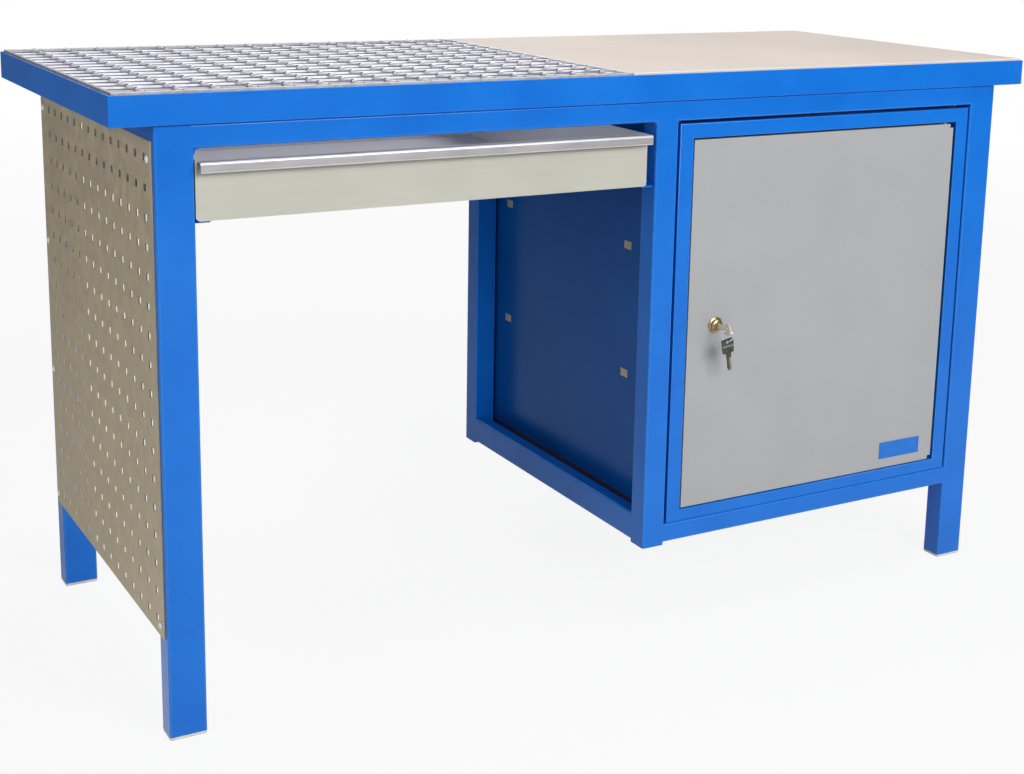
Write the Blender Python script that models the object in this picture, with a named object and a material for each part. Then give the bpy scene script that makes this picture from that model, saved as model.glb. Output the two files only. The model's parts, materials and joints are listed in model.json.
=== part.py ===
"""Welding table: a steel frame with a grating and a steel plate as its top,
a sliding tray under the grating and a door cabinet under the plate.

Lengths in metres, +Z up, +X to the right and -Y to the front. Every size is
first written from the rim's left edge, the rim's front and the floor; one
parent empty then carries the whole table to the middle of its base.
"""
import math

import bmesh
import bpy
from mathutils import Vector

for old in list(bpy.data.objects):
    bpy.data.objects.remove(old, do_unlink=True)

mm = 0.001

# whole table
width = 1500 * mm
depth = 600 * mm
rim_top = 850 * mm
gap = 0.3 * mm              # between pieces that touch
overrun = 3 * mm            # how far every cutter runs past what it cuts
round_sides = 24            # facets of a turned piece
small_sides = 12            # facets of a small turned piece

# rim of angle steel, its ledge at the foot
rim_height = 39 * mm
rim_wall = 4 * mm
rim_ledge = 30 * mm

# legs, feet and posts of rectangular tube
leg_width = 50 * mm
leg_depth = 36 * mm
tube_wall = 2 * mm
leg_inset = 55 * mm         # rim's left and right overhang
leg_setback = 5 * mm        # rim's front and rear overhang
foot_height = 4 * mm
foot_plug = 12 * mm
post_left = 786 * mm        # left face of the cabinet's posts
post_width = 38 * mm
post_drop = 4 * mm          # posts end this far under the lower rails

# rails
top_rail_height = 30 * mm
top_rail_depth = 30 * mm
side_rail_width = 24 * mm
low_rail_bottom = 134 * mm
low_rail_height = 29 * mm
low_side_height = 42 * mm

# deck: grating on the left, plate on the right
deck_rise = 3 * mm          # deck above the rim
deck_joint = 742 * mm       # right edge of the grating
joint_gap = 1 * mm
bar_wall = 3 * mm
band_wall = 4 * mm
bar_drop = 0.5 * mm         # bearing bars lie this far below the band
bar_count = 14
rod_side = 6 * mm
rod_rise = 1 * mm           # ridge of a cross rod above the band
rod_pitch = 47.5 * mm
grating_play = 1 * mm
plate_wall = 8 * mm
bearer_width = 30 * mm
divider_width = 40 * mm

# perforated sheet outside the left legs
panel_wall = 1.7 * mm
panel_inset_front = 9 * mm  # from the front leg's front
panel_inset_rear = 14 * mm
panel_drop = 20 * mm        # under the rim
panel_bottom = 139 * mm
hole_side = 10 * mm
hole_pitch = 38 * mm
hole_margin_front = 27.5 * mm   # panel's edge to the first holes' middles
hole_margin_rear = 45.5 * mm
hole_margin_bottom = 21 * mm
hole_margin_top = 23 * mm
count_slack_share = 0.01    # keeps a full pitch whole when counting holes
screw_head = 5 * mm         # radius
screw_rise = 2.5 * mm
screw_crown = 3.2 * mm      # radius of the head's flat top
screw_shank = 2.2 * mm      # radius
screw_length = 8 * mm
screw_play = 0.3 * mm
screw_inset_front = 13 * mm # from the panel's edges
screw_inset_rear = 12 * mm
screw_inset_top = 23.5 * mm
screw_inset_bottom = 15.5 * mm
screw_front_shares = (1, 0)
screw_rear_shares = (1, 2 / 3, 1 / 3, 0)

# cabinet of folded sheet
sheet = 1.2 * mm
groove = 4 * mm             # between the surround and the tubes beside it
surround_setback = 0.5 * mm
groove_top = 4.7 * mm
groove_bottom = 1 * mm
surround_fold = 20 * mm
border_side = 24 * mm
border_top = 22 * mm
border_bottom = 18 * mm

# door
door_gap_left = 2.5 * mm
door_gap_right = 5 * mm
door_gap_top = 3 * mm
door_gap_bottom = 2 * mm
door_setback = 1 * mm
door_fold = 18 * mm
corner_cut_width = 6.5 * mm
corner_cut_height = 6 * mm
hinge_inset = 11 * mm
pin_radius = 2.5 * mm
pin_play = 0.3 * mm
pin_head = 4.5 * mm
pin_head_height = 2.5 * mm
collar_height = 1.4 * mm
pin_reach = 5 * mm

# label on the door
label_inset_right = 28.5 * mm
label_inset_bottom = 16 * mm
label_width = 85.5 * mm
label_height = 28 * mm
label_wall = 0.5 * mm

# shelves, their lugs in slots of the side sheets
shelf_shares = (1 / 3, 2 / 3)   # lugs' middles, of the cabinet's height
shelf_rise = 8 * mm
shelf_fold = 20 * mm
shelf_setback = 34 * mm
shelf_play = 0.6 * mm
slot_inset_front = 112 * mm
slot_inset_rear = 76.5 * mm
slot_width = 20 * mm
slot_height = 13 * mm

# cam lock in the door
lock_inset = 49.5 * mm      # from the door's left edge
rosette_radius = 12.5 * mm
rosette_wall = 2.5 * mm
head_radius = 9.5 * mm
head_rise = 8 * mm
barrel_radius = 8 * mm
barrel_length = 17 * mm     # behind the rosette
bore_radius = 6 * mm
lock_play = 0.3 * mm
nut_radius = 13 * mm
nut_wall = 4 * mm
nut_sides = 6
plug_rise = 0.6 * mm
keyway_width = 2.6 * mm
keyway_depth = 22 * mm
cam_width = 14 * mm
cam_reach = 59 * mm
cam_heel = 9 * mm
cam_wall = 2 * mm
cam_clearance = 1 * mm      # from the surround's rear edge

# keys and ring
key_wall = 2 * mm
key_blade = 7 * mm
key_bow_height = 18 * mm
key_bow_length = 20 * mm
key_hole_offset = 3 * mm    # hole towards the bow's outer edge
key_hole = 3 * mm           # radius
key_hole_reach = 33.5 * mm  # hole in front of the door
key_insert = 20 * mm        # blade inside the plug
spare_blade = 8 * mm
spare_bow_width = 22 * mm
spare_bow_length = 23 * mm
spare_length = 50 * mm
spare_hole = 3 * mm         # radius
spare_hole_offset = 6 * mm
ring_radius = 8.2 * mm
ring_wire = 0.8 * mm        # radius
ring_play = 0.8 * mm        # under the key's hole and over the spare key's
ring_steps = 24
wire_steps = 6

# tray
tray_height = 76 * mm
tray_headroom = 15.7 * mm   # under the top rail
tray_gap_right = 15.8 * mm  # to the post
tray_gap_rear = 40 * mm
tray_wall = 1.5 * mm
tray_round = 4 * mm
tray_round_steps = 3
runner_width = 20 * mm
runner_upright = 20 * mm
runner_wall = 2.5 * mm
runner_setback = 15 * mm    # from the legs' outer faces
tray_play = 0.4 * mm
handle_reach = 15 * mm
handle_height = 14 * mm
handle_wall = 1.5 * mm
handle_hem = 4 * mm

# places that follow from the sizes above
rim_bottom = rim_top - rim_height
deck_top = rim_top + deck_rise
ledge_top = rim_bottom + rim_wall
leg_top = rim_bottom - gap
leg_lefts = (leg_inset, width - leg_inset - leg_width)
leg_fronts = (leg_setback, depth - leg_setback - leg_depth)
leg_rights = tuple(x + leg_width for x in leg_lefts)
leg_rears = tuple(y + leg_depth for y in leg_fronts)
post_right = post_left + post_width
top_rail_bottom = leg_top - top_rail_height
low_rail_top = low_rail_bottom + low_rail_height
post_bottom = low_rail_bottom - post_drop
surround_bottom = low_rail_top + groove_bottom
surround_top = top_rail_bottom - groove_top
front_face = leg_setback
rear_face = depth - leg_setback
surround_left = post_right + groove
surround_right = leg_lefts[1] - groove
surround_front = front_face + surround_setback
surround_rear = surround_front + surround_fold
window_left = surround_left + border_side
window_right = surround_right - border_side
window_bottom = surround_bottom + border_bottom
window_top = surround_top - border_top
door_left = window_left + door_gap_left
door_right = window_right - door_gap_right
door_bottom = window_bottom + door_gap_bottom
door_top = window_top - door_gap_top
door_front = surround_front + door_setback
door_rear = door_front + door_fold
hinge_x = door_right - hinge_inset
hinge_y = door_front + door_fold * 0.5
lock_x = door_left + lock_inset
lock_level = (door_bottom + door_top) * 0.5
cabinet_front = surround_rear + gap
cabinet_rear = rear_face - surround_setback
cabinet_bottom = low_rail_top + gap
shelf_levels = tuple(cabinet_bottom + (surround_top - cabinet_bottom) * share
                     for share in shelf_shares)
slot_columns = (cabinet_front + slot_inset_front, cabinet_rear - slot_inset_rear)
shelf_front = cabinet_front + shelf_setback
panel_front = leg_fronts[0] + panel_inset_front
panel_rear = leg_rears[1] - panel_inset_rear
panel_top = rim_bottom - panel_drop
key_hole_y = door_front - key_hole_reach
key_bow_middle = key_hole_y + key_hole_offset
key_front = key_bow_middle - key_bow_length * 0.5
tray_left = leg_rights[0] + gap + runner_wall + tray_play
tray_right = post_left - tray_gap_right
tray_rear = rear_face - tray_gap_rear
tray_top = top_rail_bottom - tray_headroom
tray_bottom = tray_top - tray_height

table = bpy.data.objects.new("table_frame", None)
bpy.context.collection.objects.link(table)
table.location = (-width * 0.5, -(key_front + depth) * 0.5, 0)


# materials
def finish(name, colour, rough, metal):
    mat = bpy.data.materials.new(name)
    mat.use_nodes = True
    shader = mat.node_tree.nodes["Principled BSDF"]
    shader.inputs["Base Color"].default_value = (*colour, 1)
    shader.inputs["Roughness"].default_value = rough
    shader.inputs["Metallic"].default_value = metal
    mat.diffuse_color = (*colour, 1)
    return mat


blue = finish("blue_paint", (0.011, 0.181, 0.687), 0.38, 0.0)
grey = finish("grey_paint", (0.430, 0.434, 0.440), 0.45, 0.0)
zinc = finish("zinc_coated_steel", (0.62, 0.62, 0.64), 0.35, 1.0)
plate_steel = finish("plate_steel", (0.73, 0.67, 0.58), 0.50, 0.6)
tray_steel = finish("tray_steel", (0.58, 0.58, 0.50), 0.35, 1.0)
handle_steel = finish("bright_steel", (0.72, 0.70, 0.68), 0.28, 1.0)
panel_steel = finish("panel_steel", (0.30, 0.27, 0.22), 0.45, 0.8)
brass = finish("brass", (0.72, 0.50, 0.18), 0.25, 1.0)
key_dark = finish("dark_nickel", (0.08, 0.09, 0.08), 0.35, 0.9)
wire = finish("ring_steel", (0.75, 0.75, 0.76), 0.2, 1.0)
cap = finish("foot_plastic", (0.66, 0.66, 0.64), 0.6, 0.0)
label_blue = finish("label_blue", (0.010, 0.120, 0.520), 0.5, 0.0)


# helpers
def place(name, bm, material, at=(0, 0, 0), smooth=False):
    """Turn a bmesh into an object of the table, its origin at one point."""
    bmesh.ops.translate(bm, verts=bm.verts, vec=-Vector(at))
    bmesh.ops.recalc_face_normals(bm, faces=bm.faces)
    mesh = bpy.data.meshes.new(name)
    bm.to_mesh(mesh)
    bm.free()
    if smooth:
        mesh.shade_smooth()
        mesh.set_sharp_from_angle(angle=math.radians(sharp_angle))
    obj = bpy.data.objects.new(name, mesh)
    obj.location = at
    obj.parent = table
    bpy.context.collection.objects.link(obj)
    if material is None:
        obj.hide_render = True
        obj.display_type = "WIRE"
    else:
        mesh.materials.append(material)
    return obj


sharp_angle = 35


def add_rings(bm, rings, closed=False):
    """Skin a row of equal rings; cap both ends, or close the row on itself."""
    rows = [[bm.verts.new(p) for p in ring] for ring in rings]
    pairs = list(zip(rows, rows[1:]))
    if closed:
        pairs.append((rows[-1], rows[0]))
    else:
        bm.faces.new(rows[0])
        bm.faces.new(rows[-1])
    for a, b in pairs:
        for i in range(len(a)):
            j = (i + 1) % len(a)
            bm.faces.new((a[i], a[j], b[j], b[i]))


def body(name, rings, material, closed=False, at=(0, 0, 0), smooth=False):
    bm = bmesh.new()
    add_rings(bm, rings, closed)
    return place(name, bm, material, at, smooth)


def ring(lo, hi, axis, level, inset=0):
    """Four corners of a box's section across one axis."""
    u, v = [i for i in range(3) if i != axis]
    corners = ((lo[u] + inset, lo[v] + inset), (hi[u] - inset, lo[v] + inset),
               (hi[u] - inset, hi[v] - inset), (lo[u] + inset, hi[v] - inset))
    points = []
    for a, b in corners:
        p = [level] * 3
        p[u], p[v] = a, b
        points.append(tuple(p))
    return points


def block(name, lo, hi, material):
    return body(name, [ring(lo, hi, 2, lo[2]), ring(lo, hi, 2, hi[2])], material)


def blocks(name, boxes, material):
    """Several boxes that stay apart, in one mesh."""
    bm = bmesh.new()
    for lo, hi in boxes:
        add_rings(bm, [ring(lo, hi, 2, lo[2]), ring(lo, hi, 2, hi[2])])
    return place(name, bm, material)


def tube(name, lo, hi, axis, material, wall=tube_wall):
    """Rectangular tube along one axis, open at both ends."""
    rings = [ring(lo, hi, axis, lo[axis]), ring(lo, hi, axis, hi[axis]),
             ring(lo, hi, axis, hi[axis], wall), ring(lo, hi, axis, lo[axis], wall)]
    return body(name, rings, material, closed=True)


def prism(name, outline, axis, start, end, material, at=(0, 0, 0)):
    """Extrude a flat outline along one axis."""
    u, v = [i for i in range(3) if i != axis]
    rings = []
    for level in (start, end):
        points = []
        for a, b in outline:
            p = [level] * 3
            p[u], p[v] = a, b
            points.append(tuple(p))
        rings.append(points)
    return body(name, rings, material, at=at)


def circle(centre, axis, radius, level, sides, turn=0.0):
    u, v = [i for i in range(3) if i != axis]
    points = []
    for i in range(sides):
        a = 2 * math.pi * (i + turn) / sides
        p = [level] * 3
        p[u] = centre[0] + radius * math.cos(a)
        p[v] = centre[1] + radius * math.sin(a)
        points.append(tuple(p))
    return points


def turned(name, centre, axis, profile, material, sides=round_sides, closed=False,
           at=(0, 0, 0)):
    """Round piece from (radius, level) steps along one axis."""
    rings = [circle(centre, axis, r, level, sides) for r, level in profile]
    return body(name, rings, material, closed, at, smooth=True)


def boolean(target, tool, operation="DIFFERENCE"):
    mod = target.modifiers.new(tool.name, "BOOLEAN")
    mod.operation = operation
    mod.solver = "EXACT"
    mod.object = tool


def drill(target, name, centres, axis, radius, start, end, sides=small_sides):
    """Round holes through one wall, as one cutter."""
    bm = bmesh.new()
    for c in centres:
        add_rings(bm, [circle(c, axis, radius, start, sides),
                       circle(c, axis, radius, end, sides)])
    boolean(target, place(name, bm, None))


# legs and feet
sides_lr = ("left", "right")
ends_fr = ("front", "rear")
legs = {}
for i, side in enumerate(sides_lr):
    for j, end in enumerate(ends_fr):
        lo = (leg_lefts[i], leg_fronts[j], foot_height + gap)
        hi = (leg_rights[i], leg_rears[j], leg_top)
        legs[end, side] = tube(f"leg_{end}_{side}", lo, hi, 2, blue)
        plug = tube_wall + gap
        body(f"foot_{end}_{side}",
             [ring(lo, hi, 2, 0), ring(lo, hi, 2, foot_height),
              ring(lo, hi, 2, foot_height, plug),
              ring(lo, hi, 2, foot_height + foot_plug, plug)], cap)

# posts and rails
for j, end in enumerate(ends_fr):
    tube(f"post_{end}", (post_left, leg_fronts[j], post_bottom),
         (post_right, leg_rears[j], top_rail_bottom - gap), 2, blue)

rail_fronts = (front_face, rear_face - top_rail_depth)
for j, end in enumerate(ends_fr):
    y0, y1 = rail_fronts[j], rail_fronts[j] + top_rail_depth
    tube(f"top_rail_{end}", (leg_rights[0] + gap, y0, top_rail_bottom),
         (leg_lefts[1] - gap, y1, leg_top), 0, blue)
    tube(f"lower_rail_{end}", (post_right + gap, y0, low_rail_bottom),
         (leg_lefts[1] - gap, y1, low_rail_top), 0, blue)

between_legs = (leg_rears[0] + gap, leg_fronts[1] - gap)
between_rails = (front_face + top_rail_depth + gap,
                 rear_face - top_rail_depth - gap)
outer_right = leg_rights[1]
for name, x0, x1, (y0, y1), z0, z1 in (
        ("top_rail_left", leg_inset, leg_inset + top_rail_depth, between_legs,
         top_rail_bottom, leg_top),
        ("top_rail_right", outer_right - top_rail_depth, outer_right, between_legs,
         top_rail_bottom, leg_top),
        ("top_rail_middle", post_left, post_left + side_rail_width, between_rails,
         top_rail_bottom, leg_top),
        ("lower_rail_left", post_left, post_left + side_rail_width, between_legs,
         low_rail_bottom, low_rail_bottom + low_side_height),
        ("lower_rail_right", outer_right - side_rail_width, outer_right,
         between_legs, low_rail_bottom, low_rail_bottom + low_side_height)):
    tube(name, (x0, y0, z0), (x1, y1, z1), 1, blue)

# rim: four mitred angles
mitre = gap / math.sqrt(2)
angle = ((0, rim_bottom), (rim_ledge, rim_bottom), (rim_ledge, ledge_top),
         (rim_wall, ledge_top), (rim_wall, rim_top), (0, rim_top))
for name, along, far in (("rim_front", 0, False), ("rim_rear", 0, True),
                         ("rim_left", 1, False), ("rim_right", 1, True)):
    length = (width, depth)[along]
    across = (depth, width)[along]
    rings = [[], []]
    for s, z in angle:
        side = across - s if far else s
        for k, place_along in enumerate((s + mitre, length - s - mitre)):
            rings[k].append((place_along, side, z) if along == 0
                            else (side, place_along, z))
    body(name, rings, blue)

# deck
block("deck_divider",
      (deck_joint - divider_width * 0.5, rim_ledge + gap, rim_bottom),
      (deck_joint + divider_width * 0.5, depth - rim_ledge - gap, ledge_top), blue)

seat = ledge_top + gap
grating_left = rim_wall + grating_play
grating_front = rim_wall + grating_play
grating_rear = depth - grating_front
bar_ends = (grating_left + band_wall * 0.5, deck_joint - band_wall * 0.5)
band_middles = (grating_front + band_wall * 0.5, grating_rear - band_wall * 0.5)
bar_pitch = (band_middles[1] - band_middles[0]) / (bar_count + 1)
grating = blocks("grating", [
    ((grating_left, grating_front, seat), (grating_left + band_wall, grating_rear, deck_top)),
    ((deck_joint - band_wall, grating_front, seat), (deck_joint, grating_rear, deck_top))],
    zinc)
bands = blocks("cut_grating_bands", [
    ((bar_ends[0], y - band_wall * 0.5, seat), (bar_ends[1], y + band_wall * 0.5, deck_top))
    for y in band_middles], None)
bars = blocks("cut_grating_bars", [
    ((bar_ends[0], y - bar_wall * 0.5, seat), (bar_ends[1], y + bar_wall * 0.5, deck_top - bar_drop))
    for y in (band_middles[0] + bar_pitch * (i + 1) for i in range(bar_count))], None)
rod_half = rod_side / math.sqrt(2)
rod_middle = deck_top + rod_rise - rod_half
rod_count = int((deck_joint - grating_left - band_wall) / rod_pitch)
bm = bmesh.new()
for i in range(rod_count):
    x = rod_pitch * (i + 1)
    add_rings(bm, [circle((x, rod_middle), 1, rod_half, y, 4) for y in band_middles])
rods = place("cut_grating_rods", bm, None)
for tool in (bands, bars, rods):
    boolean(grating, tool, "UNION")

plate_left = deck_joint + joint_gap
plate_right = width - rim_wall - gap
plate_front = rim_wall + gap
plate_bottom = deck_top - plate_wall
block("deck_plate", (plate_left, plate_front, plate_bottom),
      (plate_right, depth - plate_front, deck_top), plate_steel)
for side, x in (("left", plate_left), ("right", plate_right - bearer_width)):
    tube(f"plate_bearer_{side}", (x, plate_front, seat),
         (x + bearer_width, depth - plate_front, plate_bottom - gap), 1, blue)

# perforated panel
panel_inner = leg_inset - gap
panel_outer = panel_inner - panel_wall


def stops(start, end, margin_start, margin_end):
    """Edges of a row of square holes between two outer edges."""
    span = end - start - margin_start - margin_end
    out = [start]
    for i in range(int(span / hole_pitch + count_slack_share) + 1):
        middle = start + margin_start + hole_pitch * i
        out += [middle - hole_side * 0.5, middle + hole_side * 0.5]
    return out + [end]


ys = stops(panel_front, panel_rear, hole_margin_front, hole_margin_rear)
zs = stops(panel_bottom, panel_top, hole_margin_bottom, hole_margin_top)
bm = bmesh.new()
grid = [[bm.verts.new((panel_outer, y, z)) for z in zs] for y in ys]
for i in range(len(ys) - 1):
    for j in range(len(zs) - 1):
        if not (i % 2 and j % 2):
            bm.faces.new((grid[i][j], grid[i + 1][j], grid[i + 1][j + 1], grid[i][j + 1]))
new = bmesh.ops.extrude_face_region(bm, geom=bm.faces[:])["geom"]
bmesh.ops.translate(bm, verts=[v for v in new if isinstance(v, bmesh.types.BMVert)],
                    vec=(panel_wall, 0, 0))
panel = place("perforated_panel", bm, panel_steel)

screw_front = panel_front + screw_inset_front
screw_rear = panel_rear - screw_inset_rear
screw_low, screw_high = panel_bottom + screw_inset_bottom, panel_top - screw_inset_top
screws = [(y, screw_low + (screw_high - screw_low) * share)
          for y, shares in ((screw_front, screw_front_shares), (screw_rear, screw_rear_shares))
          for share in shares]
screw_hole = screw_shank + screw_play
drill(panel, "cut_panel_screws", screws, 0, screw_hole,
      panel_outer - overrun, panel_inner + overrun)
for end, y in (("front", screw_front), ("rear", screw_rear)):
    drill(legs[end, "left"], f"cut_{end}_leg_screws", [s for s in screws if s[0] == y],
          0, screw_hole, leg_inset - overrun, leg_inset + tube_wall + overrun)
head_face = panel_outer - gap
for i, at in enumerate(screws):
    turned(f"panel_screw_{i + 1}", at, 0, (
        (screw_crown, head_face - screw_rise), (screw_head, head_face - screw_rise * 0.4),
        (screw_head, head_face), (screw_shank, head_face),
        (screw_shank, head_face + screw_length)), zinc, small_sides)

# cabinet
inner_left = surround_left + sheet
inner_right = surround_right - sheet
slots = [(y, z) for y in slot_columns for z in shelf_levels]
for side, x in (("left", surround_left), ("right", inner_right)):
    wall = block(f"cabinet_{side}_side", (x, cabinet_front, cabinet_bottom),
                 (x + sheet, cabinet_rear, surround_top), blue)
    boolean(wall, blocks(f"cut_{side}_slots", [
        ((x - overrun, y - slot_width * 0.5, z - slot_height * 0.5),
         (x + sheet + overrun, y + slot_width * 0.5, z + slot_height * 0.5))
        for y, z in slots], None))
x0, x1 = inner_left + gap, inner_right - gap
block("cabinet_floor", (x0, cabinet_front, cabinet_bottom),
      (x1, cabinet_rear, cabinet_bottom + sheet), blue)
block("cabinet_top", (x0, cabinet_front, surround_top - sheet),
      (x1, cabinet_rear, surround_top), blue)
block("cabinet_back", (x0, cabinet_rear - sheet, cabinet_bottom + sheet + gap),
      (x1, cabinet_rear, surround_top - sheet - gap), blue)

# shelves: folded pans, open below, whose lugs fill the slots
for name, level in zip(("shelf_lower", "shelf_upper"), shelf_levels):
    lo = (inner_left + shelf_play, shelf_front, level + shelf_rise - shelf_fold)
    hi = (inner_right - shelf_play, cabinet_rear - sheet - shelf_play, level + shelf_rise)
    shelf = body(name, [ring(lo, hi, 2, hi[2]), ring(lo, hi, 2, lo[2]),
                        ring(lo, hi, 2, lo[2], sheet), ring(lo, hi, 2, hi[2] - sheet, sheet)],
                 zinc)
    lug_width, lug_height = slot_width * 0.5 - gap, slot_height * 0.5 - gap
    boolean(shelf, blocks(f"cut_{name}_lugs", [
        ((a, y - lug_width, level - lug_height), (b, y + lug_width, level + lug_height))
        for y in slot_columns
        for a, b in ((surround_left, lo[0] + sheet * 0.5), (hi[0] - sheet * 0.5, surround_right))],
        None), "UNION")

# door surround: a channel folded all round, open to the rear
outer = ((surround_left, 0, surround_bottom), (surround_right, 0, surround_top))
window = ((window_left, 0, window_bottom), (window_right, 0, window_top))
web = surround_front + sheet
surround = body("door_surround", [
    ring(*outer, 1, surround_front), ring(*outer, 1, surround_rear),
    ring(*outer, 1, surround_rear, sheet), ring(*outer, 1, web, sheet),
    ring(*window, 1, web, -sheet), ring(*window, 1, surround_rear, -sheet),
    ring(*window, 1, surround_rear), ring(*window, 1, surround_front)],
    blue, closed=True)

# door
def door_outline(inset):
    """Door seen from the front; both right corners are cut for the pins."""
    x0, x1 = door_left + inset, door_right - inset
    z0, z1 = door_bottom + inset, door_top - inset
    cut_x, cut_z = x1 - corner_cut_width, corner_cut_height
    return [(x0, z0), (cut_x, z0), (cut_x, z0 + cut_z), (x1, z0 + cut_z),
            (x1, z1 - cut_z), (cut_x, z1 - cut_z), (cut_x, z1), (x0, z1)]


def door_ring(inset, y):
    return [(x, y, z) for x, z in door_outline(inset)]


hinge_at = (hinge_x, hinge_y, door_bottom)
door = body("door", [
    door_ring(0, door_front), door_ring(0, door_rear),
    door_ring(sheet, door_rear), door_ring(sheet, door_front + sheet)],
    grey, at=hinge_at)

# pins: each head sits on the surround's inner fold, the shank enters the door
pin_hole = pin_radius + pin_play
hinge = (hinge_x, hinge_y)
for target, part, z0, z1 in (
        (surround, "surround_bottom", window_bottom - sheet, window_bottom),
        (surround, "surround_top", window_top, window_top + sheet),
        (door, "door_bottom", door_bottom, door_bottom + sheet),
        (door, "door_top", door_top - sheet, door_top)):
    drill(target, f"cut_{part}_pin", [hinge], 2, pin_hole, z0 - overrun * 0.5,
          z1 + overrun * 0.5, round_sides)
collar_bottom = window_bottom + gap
turned("hinge_pin_bottom", hinge, 2, (
    (pin_radius, window_bottom - pin_reach), (pin_radius, collar_bottom),
    (pin_head, collar_bottom), (pin_head, collar_bottom + collar_height),
    (pin_radius, collar_bottom + collar_height), (pin_radius, door_bottom + pin_reach)),
    zinc)
head_bottom = window_top + sheet + gap
turned("hinge_pin_top", hinge, 2, (
    (pin_radius, door_top - pin_reach), (pin_radius, head_bottom),
    (pin_head, head_bottom), (pin_head, head_bottom + pin_head_height)), zinc)

label_left = door_right - label_inset_right - label_width
label_bottom = door_bottom + label_inset_bottom
block("door_label",
      (label_left, door_front - gap - label_wall, label_bottom),
      (label_left + label_width, door_front - gap, label_bottom + label_height),
      label_blue)

# lock
lock = (lock_x, lock_level)
drill(door, "cut_door_lock", [lock], 1, barrel_radius + lock_play,
      door_front - overrun, door_front + sheet + overrun, round_sides)
face = door_front - gap
lock_front = face - head_rise
lock_rear = face + barrel_length
turned("lock_body", lock, 1, (
    (barrel_radius, lock_rear), (barrel_radius, face), (rosette_radius, face),
    (rosette_radius, face - rosette_wall), (head_radius, face - rosette_wall),
    (head_radius, lock_front), (bore_radius, lock_front), (bore_radius, lock_rear)),
    brass, closed=True)
nut_front = door_front + sheet + gap
nut = prism("lock_nut", [(x, z) for x, y, z in circle(lock, 1, nut_radius, 0, nut_sides)], 1,
            nut_front, nut_front + nut_wall, zinc)
drill(nut, "cut_nut", [lock], 1, barrel_radius + lock_play, nut_front - overrun,
      nut_front + nut_wall + overrun, round_sides)

cam_front = surround_rear + cam_clearance
plug_radius = bore_radius - lock_play
plug_front = lock_front - plug_rise
plug_rear = cam_front - gap
plug_at = (lock_x, plug_front, lock_level)
plug = turned("lock_plug", lock, 1, (
    (plug_radius, plug_front), (plug_radius, plug_rear)), brass, at=plug_at)
half_way = key_blade * 0.5 + lock_play
boolean(plug, blocks("cut_keyway", [
    ((lock_x - keyway_width * 0.5, plug_front - overrun, lock_level - half_way),
     (lock_x + keyway_width * 0.5, plug_front + keyway_depth, lock_level + half_way))], None))
half_cam = cam_width * 0.5
prism("lock_cam", [
    (lock_x - half_cam, lock_level + cam_heel), (lock_x - half_cam, lock_level - cam_reach),
    (lock_x + half_cam, lock_level - cam_reach), (lock_x + half_cam, lock_level + cam_heel)],
    1, cam_front, cam_front + cam_wall, zinc, at=plug_at)


# keys
def key_outline(length, bow_length, bow_width, blade, squareness, steps=20):
    """Flat key: bow round the start, blade towards +length."""
    half_l, half_w, half_b = bow_length * 0.5, bow_width * 0.5, blade * 0.5
    start = math.asin((half_b / half_w) ** (1 / squareness))
    points = []
    for i in range(steps + 1):
        a = start + (2 * math.pi - 2 * start) * i / steps
        c, s = math.cos(a), math.sin(a)
        points.append((half_l * math.copysign(abs(c) ** squareness, c),
                       half_w * math.copysign(abs(s) ** squareness, s)))
    tip = half_b * 0.5
    return points + [(length - tip, -half_b), (length, 0), (length - tip, half_b)]


round_share = 1.0
square_share = 0.5
key_tip = plug_front + key_insert - key_bow_middle
outline = key_outline(key_tip, key_bow_length, key_bow_height, key_blade, round_share)
half_key = key_wall * 0.5
key = prism("key", [(key_bow_middle + a, lock_level + b) for a, b in outline], 0,
            lock_x - half_key, lock_x + half_key, brass, at=plug_at)
drill(key, "cut_key_hole", [(key_hole_y, lock_level)], 0, key_hole,
      lock_x - overrun, lock_x + overrun, round_sides)

# the ring hangs in the key's hole, turned half way to the front
wire_top = lock_level - key_hole + ring_play + ring_wire
ring_level = wire_top - ring_radius
ring_at = (lock_x, key_hole_y, wire_top)
turn = math.radians(-45)
lean, side = Vector((math.cos(turn), math.sin(turn), 0)), Vector((-math.sin(turn), math.cos(turn), 0))
rings = []
for i in range(ring_steps):
    a = 2 * math.pi * i / ring_steps
    out = lean * math.cos(a) + Vector((0, 0, 1)) * math.sin(a)
    centre = Vector((lock_x, key_hole_y, ring_level)) + out * ring_radius
    rings.append([centre + (out * math.cos(b) + side * math.sin(b)) * ring_wire
                  for b in (2 * math.pi * k / wire_steps for k in range(wire_steps))])
body("key_ring", rings, wire, closed=True, at=ring_at, smooth=True)

wire_bottom = ring_level - ring_radius
spare_level = wire_bottom + ring_wire + ring_play - spare_hole
spare_middle = spare_level + spare_hole_offset - spare_bow_length * 0.5
spare_tip = spare_length - spare_bow_length * 0.5
outline = key_outline(spare_tip, spare_bow_length, spare_bow_width, spare_blade, square_share)
spare = prism("spare_key", [(lock_x + b, spare_middle - a) for a, b in outline], 1,
              key_hole_y - half_key, key_hole_y + half_key, key_dark,
              at=(lock_x, key_hole_y, wire_bottom))
drill(spare, "cut_spare_hole", [(lock_x, spare_level)], 1, spare_hole,
      key_hole_y - overrun, key_hole_y + overrun, round_sides)

# tray
def tray_outline(inset, top):
    """Tray seen from the front, its lower corners rounded."""
    x0, x1, z0 = tray_left + inset, tray_right - inset, tray_bottom + inset
    r = tray_round - inset
    points = [(x1, top), (x0, top)]
    for cx, begin in ((x0 + r, math.pi), (x1 - r, 1.5 * math.pi)):
        for k in range(tray_round_steps + 1):
            a = begin + 0.5 * math.pi * k / tray_round_steps
            points.append((cx + r * math.cos(a), z0 + r + r * math.sin(a)))
    return points


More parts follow.
